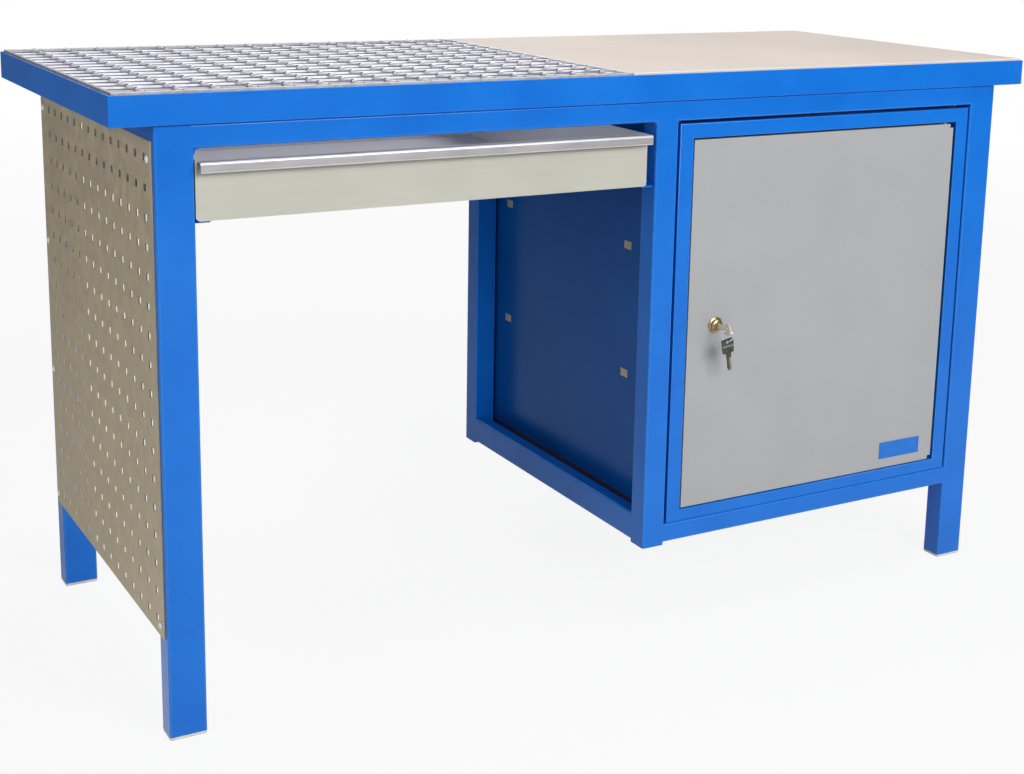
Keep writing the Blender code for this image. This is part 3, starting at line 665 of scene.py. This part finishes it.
def rim_side(node, heading, first, second):
    """Angle along one side; heading looks outward, corners are ground round."""
    rings = []
    for (x, y), turns in ((first, (-1, 0)), (second, (0, 1))):
        inward = Vector((-math.copysign(1, x), -math.copysign(1, y)))
        centre = Vector((x, y)) + inward * corner_round
        for k in range(corner_steps + 1):
            turn = turns[0] + (turns[1] - turns[0]) * k / corner_steps
            a = heading + turn * math.pi * 0.25
            ring = []
            for depth, z in angle_outline:
                if depth < corner_round:
                    arm = corner_round - depth
                    at = centre + Vector((math.cos(a), math.sin(a))) * arm
                else:
                    at = centre + inward * (depth - corner_round)
                ring.append((at.x + middle.x, at.y + middle.y, z))
            rings.append(ring)
    bm = bmesh.new()
    skin(bm, rings)
    return piece(node + "_angle", bm, node)


corners = [(-half_x, -half_y), (half_x, -half_y), (half_x, half_y), (-half_x, half_y)]
for k, node in enumerate(("rim_front", "rim_right", "rim_rear", "rim_left")):
    rim_side(node, math.pi * (0.5 * k - 0.5), corners[k], corners[(k + 1) % 4])
print("rim", round(half_x * 2 / mm), "x", round(half_y * 2 / mm), "mm")

# %% [markdown]
# ## Grating
# Flat bars stand on edge, and square rods, twisted cold, are pressed into
# their tops and fused there. The twist shows as a row of small peaks, one on
# each bar and one between. A straight rod would miss them, so the square is
# turned half a turn from bar to bar as it is swept along.

# %% Sizes of the grating
grating_lo, grating_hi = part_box("grating")
bar_count, bar_wall, band_wall = 14, 3 * mm, 4 * mm
edge_round = 0.5 * mm
bar_pitch = (grating_hi.y - grating_lo.y - band_wall) / (bar_count + 1)
bar_lines = [grating_lo.y + band_wall * 0.5 + bar_pitch * i for i in range(bar_count + 2)]
bar_drop = 1.5 * mm                 # bars under the rods' peaks
bar_top = grating_hi.z - bar_drop

rod_side, rod_pitch, rod_rise = 4.3 * mm, 47.5 * mm, 1 * mm
rod_half = rod_side / math.sqrt(2)  # half the square's diagonal
twist_steps = 12                    # rings from one bar to the next
rod_lead = 5 * mm                   # the row's phase, read off the photograph
first_rod = grating_lo.x - rod_lead + rod_pitch
rod_lines = []
x = first_rod
while x < grating_hi.x - band_wall:
    rod_lines.append(x)
    x += rod_pitch
print("bars every", round(bar_pitch / mm, 1), "mm, rods every", rod_pitch / mm, "mm")

# %% [markdown]
# ## Painted shade on the grating
# Each bar's top is painted darker, with a wedge beside each rod, as painted
# shade and a painted shadow of the rods; the first bar is painted greyer as
# painted shade, and each rod is painted darker where it crosses a bar, as
# painted shade on its peaks. A painted mask would hold these marks, but they
# repeat with the bars and rods, so a Fraction of the place counted in pitches
# puts one at every crossing.

# %% Marks on the grating
# painted shade and painted shadow: along the bars' tops, a wedge beside each rod, and on the first
# bar
rod_shadow_fall, top_shade_depth = 1.3 * mm, 0.5 * mm          # the wedge's fall to the next rod
shade_fade = (-0.3 * mm, 0.2 * mm)
first_bar_shade_edge, first_bar_shade_share = (2 * mm, 3 * mm), 0.4       # behind the first bar
# painted shade on the rods' peaks at each bar
crossing_shade_clear, crossing_shade_full = 0.09, 0.05                # from a crossing, shares of the pitch


def painted_bar_top_shade(tree, where):
    """Painted shade along each bar's top, a wedge of painted rod shadow from rod to rod; painted
    shade on the first bar.
    """
    at = add(tree, "SeparateXYZ", {0: where}).outputs
    cells = add(tree, "Math", {0: at["X"], 1: 1 / rod_pitch, 2: -first_rod / rod_pitch},
                operation="MULTIPLY_ADD")
    along = add(tree, "Math", {0: cells.outputs[0]}, operation="FRACT")
    reach = add(tree, "Math", {0: along.outputs[0], 1: -rod_shadow_fall, 2: bar_top - top_shade_depth},
                operation="MULTIPLY_ADD")
    above = add(tree, "Math", {0: at["Z"], 1: reach.outputs[0]}, operation="SUBTRACT")
    wedge = add(tree, "MapRange", {"Value": above.outputs[0], "From Min": shade_fade[0],
                                   "From Max": shade_fade[1]})
    first = add(tree, "MapRange", {"Value": at["Y"], "From Min": bar_lines[1] + first_bar_shade_edge[0],
                                   "From Max": bar_lines[1] + first_bar_shade_edge[1],
                                   "To Min": first_bar_shade_share, "To Max": 0.0})
    return add(tree, "Math", {0: wedge.outputs[0], 1: first.outputs[0]},
               operation="MAXIMUM").outputs[0]


def painted_crossing_shade(tree, where):
    """Painted shade on a rod's peaks, where it crosses each bar."""
    at = add(tree, "SeparateXYZ", {0: where}).outputs
    rows = add(tree, "Math", {0: at["Y"], 1: 1 / bar_pitch, 2: -bar_lines[0] / bar_pitch + 0.5},
               operation="MULTIPLY_ADD")
    along = add(tree, "Math", {0: rows.outputs[0]}, operation="FRACT")
    off = add(tree, "Math", {0: along.outputs[0], 1: 0.5}, operation="SUBTRACT")
    far = add(tree, "Math", {0: off.outputs[0]}, operation="ABSOLUTE")
    return add(tree, "MapRange", {"Value": far.outputs[0], "From Min": crossing_shade_clear,
                                  "From Max": crossing_shade_full, "To Max": 0.95}).outputs[0]


# The grating's bright zinc, with painted shade along each bar's upper edge and a wedge of painted
# rod shadow.
steel("sooty_bar_zinc", **zinc_look, mark=painted_bar_top_shade)
# Whiter than the bars as painted light, since the rods catch the top light; painted shade at each
# bar.
steel("burnt_rod_zinc", "#FBFBFD", "#EDEDF2", cloud_size=30, line_size=2.5, line_ratio=0.2,
      along=1, rough=0.5, metal=0.05, bump_height=0.06, mark=painted_crossing_shade)
# Grey and duller than the bars: the outer bands beside the rim.
steel("dusty_band_zinc", "#B9B7B7", "#A19F9F", cloud_size=30, line_size=2.5, line_ratio=0.2,
      along=0, rough=0.5, metal=0.3, bump_height=0.06, spangle=9)
print("3 more zincs,", len(finishes), "finishes in all")

# %% Bars, bands and twisted rods
def flat_bar(bm, axis, middle, width, top, near, far):
    """Bar on edge from near to far, with broken corners."""
    lo, hi = (middle - width * 0.5, grating_lo.z), (middle + width * 0.5, top)
    outline = rounded(oblong(lo, hi, edge_round), 2)
    skin(bm, [across(outline, axis, near), across(outline, axis, far)])


band_half = band_wall * 0.5
band_top = grating_hi.z - rod_rise

bm = bmesh.new()
for y in bar_lines[1:-1]:
    flat_bar(bm, 0, y, bar_wall, bar_top, grating_lo.x + band_half, grating_hi.x - band_half)
piece("grating_bars", bm, "grating", finish="sooty_bar_zinc")

bm = bmesh.new()
for y in (bar_lines[0], bar_lines[-1]):
    flat_bar(bm, 0, y, band_wall, band_top, grating_lo.x, grating_hi.x)
flat_bar(bm, 1, grating_lo.x + band_half, band_wall, band_top, bar_lines[0], bar_lines[-1])
piece("grating_outer_bands", bm, "grating", hide=False, finish="dusty_band_zinc")
bm = bmesh.new()
flat_bar(bm, 1, grating_hi.x - band_half, band_wall, band_top, bar_lines[0], bar_lines[-1])
piece("grating_inner_band", bm, "grating", hide=False)

bm = bmesh.new()
for x in rod_lines:
    rings = []
    for i in range((bar_count + 1) * twist_steps + 1):
        y = bar_lines[0] + bar_pitch * i / twist_steps
        a = math.pi * (0.5 + i / twist_steps)
        rings.append([(x + rod_half * math.cos(a + math.pi * 0.5 * k), y,
                       grating_hi.z - rod_half + rod_half * math.sin(a + math.pi * 0.5 * k))
                      for k in range(4)])
    skin(bm, rings)
piece("grating_twisted_rods", bm, "grating", hide=False, finish="burnt_rod_zinc")
print(bar_count, "bars,", len(rod_lines), "twisted rods")

# %% [markdown]
# ## Folded and cut sheet
# Door, surround, tray, handle and runners are sheet, cut flat and folded in a
# press. A fold is never sharp: its outside follows the sheet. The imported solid
# has the exact shape, so a copy of its mesh is cleaned of its triangles and
# only its sharp edges are rounded, all of them or those in one plane. A Bevel
# modifier would round them too, but couldn't be kept to one plane as simply.
# Two shapes change first: the tray's front edge spreads to the leg, and each
# runner's flange runs on to the tray's front while its upright is cut back.

# %% Rounded edges on folded pieces
same_place, in_plane = 0.01 * mm, 0.05 * mm
flat_bend = math.radians(1)


def eased(node, radius, plane=None, steps=3, name="_folded", least=40, change=None):
    """Copy of a node with its sharp edges rounded; plane is (axis, level)."""
    bm = bmesh.new()
    bm.from_mesh(frame["nodes"][node].data)
    bmesh.ops.remove_doubles(bm, verts=bm.verts, dist=same_place)
    bmesh.ops.dissolve_limit(bm, angle_limit=flat_bend, verts=bm.verts, edges=bm.edges)
    if change:
        change(bm)
    sharp = [e for e in bm.edges if len(e.link_faces) == 2
             and e.calc_face_angle() > math.radians(least)]
    if plane:
        sharp = [e for e in sharp if all(abs(v.co[plane[0]] - plane[1]) < in_plane
                                         for v in e.verts)]
    bmesh.ops.bevel(bm, geom=sharp, offset=radius, segments=steps, profile=0.5,
                    affect="EDGES", clamp_overlap=True)
    return piece(node + name, bm, node)


print("edges over 40 degrees are rounded")

# %% Flared tray and runners that run out
touch = 0.1 * mm                # a corner this near to a face lies in it
flare_depth = 2.5 * mm          # length of the tray's edge that spreads
front_wall, side_wall = 1 * mm, 4.5 * mm    # which corners move: nearer than this
leg_gap = 0.5 * mm              # left between the flared edge and the leg
inner_share = 0.6               # the wall's inner corners follow less
flange_top, upright_foot = 2.5 * mm, 3 * mm     # over the runner's underside
flange_run, upright_cut = 11 * mm, 45 * mm


def flare(bm):
    """Spread the tray's front edge to the leg, in front of the runner."""
    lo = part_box("tray")[0]
    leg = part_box("leg_front_left")[1].x
    bmesh.ops.bisect_plane(bm, geom=bm.verts[:] + bm.edges[:] + bm.faces[:],
                           plane_co=(0, lo.y + flare_depth, 0), plane_no=(0, 1, 0))
    for v in bm.verts:
        if v.co.y < lo.y + front_wall and v.co.x < lo.x + side_wall:
            v.co.x -= (lo.x - leg - leg_gap) * (1 if v.co.x < lo.x + touch else inner_share)


def run_out(bm):
    """Carry a runner's flange to the tray's front and cut its upright back on a slant."""
    front, low = (min(v.co[i] for v in bm.verts) for i in (1, 2))
    bmesh.ops.bisect_plane(bm, geom=bm.verts[:] + bm.edges[:] + bm.faces[:],
                           plane_co=(0, 0, low + flange_top), plane_no=(0, 0, 1))
    for v in bm.verts:
        if v.co.y < front + touch:
            v.co.y += -flange_run if v.co.z < low + upright_foot else upright_cut


door_fold, tray_fold, runner_fold, shelf_fold = 1.3 * mm, 0.6 * mm, 0.7 * mm, 0.6 * mm
plate_edge, film_edge, punched_edge, pin_edge = 0.8 * mm, 0.2 * mm, 0.25 * mm, 0.3 * mm

eased("door_surround", door_fold, (1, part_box("door_surround")[0].y))
eased("door", door_fold, (1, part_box("door")[0].y))
eased("door_label", film_edge, name="_film")
eased("tray", tray_fold, change=flare)
for node in ("runner_left", "runner_right"):
    eased(node, runner_fold, change=run_out)
eased("deck_plate", plate_edge, name="_rolled")
eased("deck_divider", plate_edge, name="_rolled")
for node in ("shelf_lower", "shelf_upper"):
    eased(node, shelf_fold, least=60)
for node in ("cabinet_left_side", "cabinet_right_side", "perforated_panel"):
    eased(node, punched_edge, steps=1, name="_punched", least=60)
for node in ("hinge_pin_top", "hinge_pin_bottom", "lock_nut", "lock_cam"):
    eased(node, pin_edge, steps=2, name="_eased")
print("folds of the door rounded at", door_fold / mm, "mm")

# %% [markdown]
# ## Handle strip
# The tray's handle is one strip folded three times: up the tray's front, out,
# down, and back in a small hem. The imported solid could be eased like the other
# folds, but these are wider, and catch the light as bright lines. So the strip
# is drawn as an outline, each fold with its own radius, and pushed along the
# tray.

# %% Handle strip
lo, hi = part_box("tray_handle")
strip, hem = 1.5 * mm, 4 * mm
# Corners are (depth, height, radius): the outer face first, then back along the inner one.
handle = rounded([
    (hi.y, lo.z, 0.3 * mm), (hi.y, hi.z, 1.8 * mm), (lo.y, hi.z, 3.2 * mm),
    (lo.y, lo.z, 1.7 * mm), (lo.y + hem, lo.z, 0.5 * mm), (lo.y + hem, lo.z + strip, 0.5 * mm),
    (lo.y + strip, lo.z + strip, 0.4 * mm), (lo.y + strip, hi.z - strip, 1.6 * mm),
    (hi.y - strip, hi.z - strip, 0.5 * mm), (hi.y - strip, lo.z, 0.3 * mm)], 4)
bm = bmesh.new()
skin(bm, [across(handle, 0, lo.x), across(handle, 0, hi.x)])
piece("tray_handle_strip", bm, "tray_handle", flat_angle=35)
print("handle", round((hi.x - lo.x) / mm), "mm long")

# %% [markdown]
# ## Foot caps
# A plastic cap closes each leg: a plate with the tube's round corners, a small
# chamfer at the floor, and a plug that grips inside. Two bevelled boxes would
# do, but rings of the same outline at growing height make all of it in one
# sweep, in one skin as it is moulded.

# %% Foot caps
cap_plate, cap_chamfer, cap_lip = 4 * mm, 0.9 * mm, 0.4 * mm
plug_inset, lead_inset, lead_length = 2.3 * mm, 3.2 * mm, 1.5 * mm
least_corner = 0.6 * mm

caps = [f"foot_{end}_{side}" for end in ("front", "rear") for side in ("left", "right")]
for node in caps:
    lo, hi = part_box(node)
    rings = []
    for inset, z in ((cap_chamfer, lo.z), (0, lo.z + cap_chamfer), (0, cap_plate - cap_lip),
                     (cap_lip, cap_plate), (plug_inset, cap_plate),
                     (plug_inset, hi.z - lead_length), (lead_inset, hi.z)):
        outline = rounded(oblong((lo.x + inset, lo.y + inset), (hi.x - inset, hi.y - inset),
                                 max(roll - inset, least_corner)))
        rings.append([(a, b, z) for a, b in outline])
    bm = bmesh.new()
    skin(bm, rings)
    piece(node + "_cap", bm, node)
print(len(caps), "foot caps")

# %% [markdown]
# ## Corner welds
# Where the rail meets leg and post over the tray, the weld was laid into the
# corner and ground, so the opening has round upper corners. Round the door the
# same welds are smaller. Rounding the opening itself would mean cutting the
# tubes, so each weld is a small block with a hollow quarter circle, as deep as
# the rail.

# %% Corner welds
weld_back = 0.02 * mm           # behind the rail's face, so that the two don't flicker
weld_steps = 8
tray_weld, door_weld, foot_weld = 7 * mm, 2.5 * mm, 0.8 * mm


def corner_weld(name, x, z, side, up, near, far, radius):
    """Fill a corner at x, z; side and up point into the opening."""
    outline = [(x - side * weld_gap, z - up * weld_gap), (x + side * radius, z - up * weld_gap)]
    for k in range(weld_steps + 1):
        a = math.pi * 0.5 * k / weld_steps
        outline.append((x + side * radius * (1 - math.sin(a)),
                        z + up * radius * (1 - math.cos(a))))
    outline.append((x - side * weld_gap, z + up * radius))
    bm = bmesh.new()
    skin(bm, [across(outline, 1, near), across(outline, 1, far)])
    return piece(name, bm, "top_rail_front", hide=False)


rail_lo, rail_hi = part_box("top_rail_front")
post_lo, post_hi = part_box("post_front")
left_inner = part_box("leg_front_left")[1].x
right_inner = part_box("leg_front_right")[0].x
low_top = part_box("lower_rail_front")[1].z
welds = (
    ("tray_opening_weld_left", left_inner, rail_lo.z, 1, -1, tray_weld),
    ("tray_opening_weld_right", post_lo.x, rail_lo.z, -1, -1, tray_weld),
    ("door_opening_weld_top_left", post_hi.x, rail_lo.z, 1, -1, door_weld),
    ("door_opening_weld_top_right", right_inner, rail_lo.z, -1, -1, door_weld),
    ("door_opening_weld_low_left", post_hi.x, low_top, 1, 1, foot_weld),
    ("door_opening_weld_low_right", right_inner, low_top, -1, 1, foot_weld))
for name, x, z, side, up, radius in welds:
    corner_weld(name, x, z, side, up, rail_lo.y + weld_back, rail_hi.y, radius)
print(len(welds), "corner welds")

# %% [markdown]
# ## Foot and rear fold of the side sheets
# Under each side sheet, a strip of the same sheet fills the gap down between
# the front and the rear rail, a sheet put there as painted shade for that gap;
# at the back the sheet is folded to the leg, so no light shows past it. The
# packed sheet ends on top of the rails and stops short of the leg. It could be
# drawn again, larger, but its slots are right as they are, so a strip of the
# same sheet goes on below it and another one beside it.

# %% Side sheet feet and rear folds
foot_drop = 14 * mm             # under the sheet's lower edge, behind the rail's face
fold_wall, cut_round = 1.2 * mm, 0.3 * mm
front_rail, rear_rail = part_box("lower_rail_front")[1].y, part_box("lower_rail_rear")[0].y
fold_ends = {"left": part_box("post_rear")[1].x + weld_gap,
             "right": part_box("leg_rear_right")[0].x - weld_gap}

for side, fold_end in fold_ends.items():
    node = f"cabinet_{side}_side"
    lo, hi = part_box(node)
    # the foot strip is a sheet put in the gap over the rail as painted shade
    outline = rounded(oblong((lo.x, lo.z - foot_drop), (hi.x, lo.z), cut_round), 1)
    bm = bmesh.new()
    skin(bm, [across(outline, 1, front_rail + weld_gap), across(outline, 1, rear_rail - weld_gap)])
    piece(node + "_foot", bm, node, hide=False)
    fold = (fold_end, lo.x) if side == "left" else (hi.x, fold_end)
    outline = rounded(oblong((fold[0], hi.y - fold_wall), (fold[1], hi.y), cut_round), 1)
    bm = bmesh.new()
    skin(bm, [across(outline, 2, lo.z), across(outline, 2, hi.z)])
    piece(node + "_rear_fold", bm, node, hide=False)
print(len(fold_ends), "sheet feet and as many rear folds")

# %% [markdown]
# ## Screws of the panel
# Button head screws hold the panel: a low dome, a hexagon socket, a short
# shank. They could be cut from a sphere and a hexagon with Booleans, but all of
# it is round about one line. So a row of rings along it makes them, and the
# socket's rings are bent to a hexagon.

# %% Screws
def turned(bm, centre, axis, profile, sides=24, bored=False):
    """Rings of (radius, level) along one axis; a third value bends one to a hexagon."""
    rings = []
    for radius, level, *hexagon in profile:
        outline = []
        for k in range(sides):
            a = 2 * math.pi * k / sides
            r = radius
            if hexagon:
                r /= math.cos((a + math.pi / 6) % (math.pi / 3) - math.pi / 6)
            outline.append((centre[0] + r * math.cos(a), centre[1] + r * math.sin(a)))
        rings.append(across(outline, axis, level))
    return skin(bm, rings, closed=bored)


# Radius and level in mm: socket, dome, flat underside, shank.
head_profile = ((1.4, 1.5, 1), (1.5, 0.1, 1), (1.9, 0), (2.9, 0.15), (4.0, 0.8), (4.7, 1.6),
                (5.0, 2.3), (4.8, 2.5), (2.2, 2.5), (2.2, 10.0), (1.6, 10.5))
screws = [node for node in frame["nodes"] if node.startswith("panel_screw_")]
for node in screws:
    lo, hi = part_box(node)
    bm = bmesh.new()
    turned(bm, ((lo.y + hi.y) * 0.5, (lo.z + hi.z) * 0.5), 0,
           [(r * mm, lo.x + level * mm, *bent) for r, level, *bent in head_profile])
    piece(node + "_button_head", bm, node, flat_angle=35)
print(len(screws), "screws")

# %% [markdown]
# ## Lock and key
# The lock's body is turned: a plain barrel with a flange, whose face and step
# slope a little and so each catch a spot of light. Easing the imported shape
# would leave them flat, so its profile is turned again. The plug and the key in
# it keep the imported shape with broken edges.

# %% Lock and key
lock_sides = 72
# Radius and level in mm: bore, sloped face, step, sloped flange, barrel.
lock_profile = ((6.0, 25.0), (6.0, 0.4), (6.4, 0.0), (9.0, 1.1), (9.4, 1.5), (9.5, 2.0),
                (9.5, 5.5), (12.0, 6.4), (12.4, 6.8), (12.5, 7.2), (12.5, 8.0), (8.0, 8.0),
                (8.0, 25.0))
plug_edge, key_edge = 0.3 * mm, 0.35 * mm

lock_lo, lock_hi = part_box("lock_body")
bm = bmesh.new()
turned(bm, ((lock_lo.x + lock_hi.x) * 0.5, (lock_lo.z + lock_hi.z) * 0.5), 1,
       [(r * mm, lock_lo.y + level * mm) for r, level in lock_profile], lock_sides, True)
piece("lock_body_turned", bm, "lock_body", flat_angle=35)
eased("lock_plug", plug_edge, steps=2, name="_turned")
eased("key", key_edge, steps=2, name="_stamped")
print("lock", round((lock_hi.x - lock_lo.x) / mm), "mm wide")

# %% [markdown]
# ## Spare key
# The spare key is stamped from sheet: its outline is cut with a hole, the head
# is pressed with a raised band, and one half of the blade is milled thinner,
# down to bare brass, with the cuts on its edge. A curve filled and extruded
# would give the outline, but a loft of four rings also breaks its edges. The
# key hangs a little askew, as in the photograph.

# %% Stamping
def drawn_in(points, amount):
    """Move a flat outline inward along its own normals; points run one way round."""
    out = []
    area = sum(points[i - 1][0] * p[1] - p[0] * points[i - 1][1] for i, p in enumerate(points))
    for i, (a, b) in enumerate(points):
        before, after = Vector(points[i - 1]), Vector(points[(i + 1) % len(points)])
        along = (after - before).normalized() * math.copysign(amount, area)
        out.append((a - along.y, b + along.x))
    return out


def stamped(bm, outline, holes, near, far, ease):
    """Flat plate from near to far, with holes and broken edges."""
    ends = ([], [])
    for loop, inward in [(outline, ease)] + [(hole, -ease) for hole in holes]:
        small = drawn_in(loop, inward)
        rows = skin(bm, [across(small, 1, near), across(loop, 1, near + ease),
                         across(loop, 1, far - ease), across(small, 1, far)], caps=False)
        for edges, row in zip(ends, (rows[0], rows[-1])):
            edges += [bm.edges.get((row[i - 1], row[i])) for i in range(len(row))]
    for edges in ends:
        bmesh.ops.triangle_fill(bm, use_beauty=True, edges=edges)


print("stamping ready")

# %% Sizes of the spare key
spare_lo, spare_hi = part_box("spare_key")
spare_x = (spare_lo.x + spare_hi.x) * 0.5
half_bow = (spare_hi.x - spare_lo.x) * 0.5
bow_length, bow_round, bow_taper, foot_round = 23 * mm, 4 * mm, 1 * mm, 1.6 * mm
bow_foot = spare_hi.z - bow_length
eye_drop, eye_radius, eye_steps = 5.5 * mm, 3 * mm, 24
eye_z = spare_hi.z - eye_drop
neck_half, neck_length, neck_round = 5 * mm, 7 * mm, 0.5 * mm
neck_end = bow_foot - neck_length
blade_half, milled_at, milled_lap, milled_corner = 4 * mm, 0.4 * mm, 0.1 * mm, 0.1 * mm
tip_half, tip_slope, tip_round = 2.4 * mm, 4 * mm, 1 * mm
band_drop, band_high, band_in, band_round = 12 * mm, 1.7 * mm, 1.2 * mm, 0.6 * mm
key_ease, blade_ease = 0.25 * mm, 0.15 * mm
bow_inset, blade_inset = 0.2 * mm, 0.5 * mm     # thinner than the band, on each face
askew = math.radians(-9)


def hang(bm):
    """Tilt a part of the spare key about its eye."""
    bmesh.ops.rotate(bm, verts=bm.verts[:], cent=(spare_x, 0, eye_z),
                     matrix=Matrix.Rotation(askew, 3, "Y"))


print("spare key", round((spare_hi.z - spare_lo.z) / mm), "mm long")

# %% Spare key
bow = rounded([
    (spare_x - half_bow, spare_hi.z, bow_round), (spare_x + half_bow, spare_hi.z, bow_round),
    (spare_x + half_bow - bow_taper, bow_foot, foot_round),
    (spare_x + neck_half, bow_foot, neck_round), (spare_x + blade_half, neck_end, tip_round),
    (spare_x - milled_at, neck_end, milled_corner),
    (spare_x - milled_at, spare_lo.z, milled_corner),
    (spare_x - tip_half, spare_lo.z, tip_round),
    (spare_x - blade_half, spare_lo.z + tip_slope, tip_round),
    (spare_x - blade_half, neck_end, tip_round), (spare_x - neck_half, bow_foot, neck_round),
    (spare_x - half_bow + bow_taper, bow_foot, foot_round)])
eye = [(spare_x + eye_radius * math.cos(2 * math.pi * k / eye_steps),
        eye_z + eye_radius * math.sin(2 * math.pi * k / eye_steps)) for k in range(eye_steps)]
bm = bmesh.new()
stamped(bm, bow, [eye], spare_lo.y + bow_inset, spare_hi.y - bow_inset, key_ease)
hang(bm)
piece("spare_key_bow", bm, "spare_key", flat_angle=35)

band_z = spare_hi.z - band_drop
band = rounded(oblong((spare_x - half_bow + band_in, band_z - band_high),
                      (spare_x + half_bow - band_in, band_z + band_high), band_round), 2)
bm = bmesh.new()
stamped(bm, band, [], spare_lo.y, spare_hi.y, key_ease)
hang(bm)
piece("spare_key_band", bm, "spare_key", hide=False, flat_angle=35, finish="worn_nickel")

# Each cut is (depth into the blade's edge, drop under the bow's foot) in mm.
cuts = ((0, 8.0), (1.3, 9.4), (1.3, 10.8), (0.3, 12.2), (0.3, 13.0), (1.8, 14.6), (1.8, 16.0),
        (0.8, 17.4), (1.1, 19.4), (0.2, 20.8), (0.2, 22.4))
tip = ((2.2, 0.6), (1.2, 0))    # mm beside the middle and over the key's end
blade = [(spare_x - milled_at, spare_lo.z), (spare_x - milled_at, neck_end + milled_lap),
         (spare_x + blade_half, neck_end + milled_lap)]
blade += [(spare_x + blade_half - depth * mm, bow_foot - drop * mm) for depth, drop in cuts]
blade += [(spare_x + beside * mm, spare_lo.z + over * mm) for beside, over in tip]
bm = bmesh.new()
stamped(bm, blade, [], spare_lo.y + blade_inset, spare_hi.y - blade_inset, blade_ease)
hang(bm)
piece("spare_key_milled_blade", bm, "spare_key", hide=False, flat_angle=35,
      finish="worn_key_brass")
print("spare key of 3 pieces with", len(cuts), "cut points")

# %% [markdown]
# ## Split ring
# The ring is flat spring wire wound nearly twice, so that a key can be worked
# on. A torus would be one closed ring. Here the wire's section runs along a
# short helix instead, and its two ends show.

# %% Split ring
ring_lo, ring_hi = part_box("key_ring")
ring_middle = (ring_lo + ring_hi) * 0.5
wire_high, wire_wide = 0.65 * mm, 0.4 * mm      # half the flat wire's section
ring_inset = 0.8 * mm                           # wire's middle inside the ring's edge
ring_radius = (ring_hi.z - ring_lo.z) * 0.5 - ring_inset
ring_turn = math.radians(-45)                   # the ring hangs askew to the door
coils, coil_steps, coil_start = 1.85, 64, 0.1

ring_side = Vector((math.cos(ring_turn), math.sin(ring_turn), 0))
ring_axis = Vector((-math.sin(ring_turn), math.cos(ring_turn), 0))
rings = []
for i in range(coil_steps + 1):
    share = i / coil_steps
    a = 2 * math.pi * (coils * share + coil_start)
    out = ring_side * math.cos(a) + Vector((0, 0, 1)) * math.sin(a)
    centre = ring_middle + out * ring_radius + ring_axis * wire_wide * (2 * share - 1)
    rings.append([centre + out * wire_high * math.cos(b) + ring_axis * wire_wide * math.sin(b)
                  for b in (2 * math.pi * k / 8 for k in range(8))])
bm = bmesh.new()
skin(bm, rings)
piece("key_ring_coils", bm, "key_ring")
print("ring of", coils, "coils")
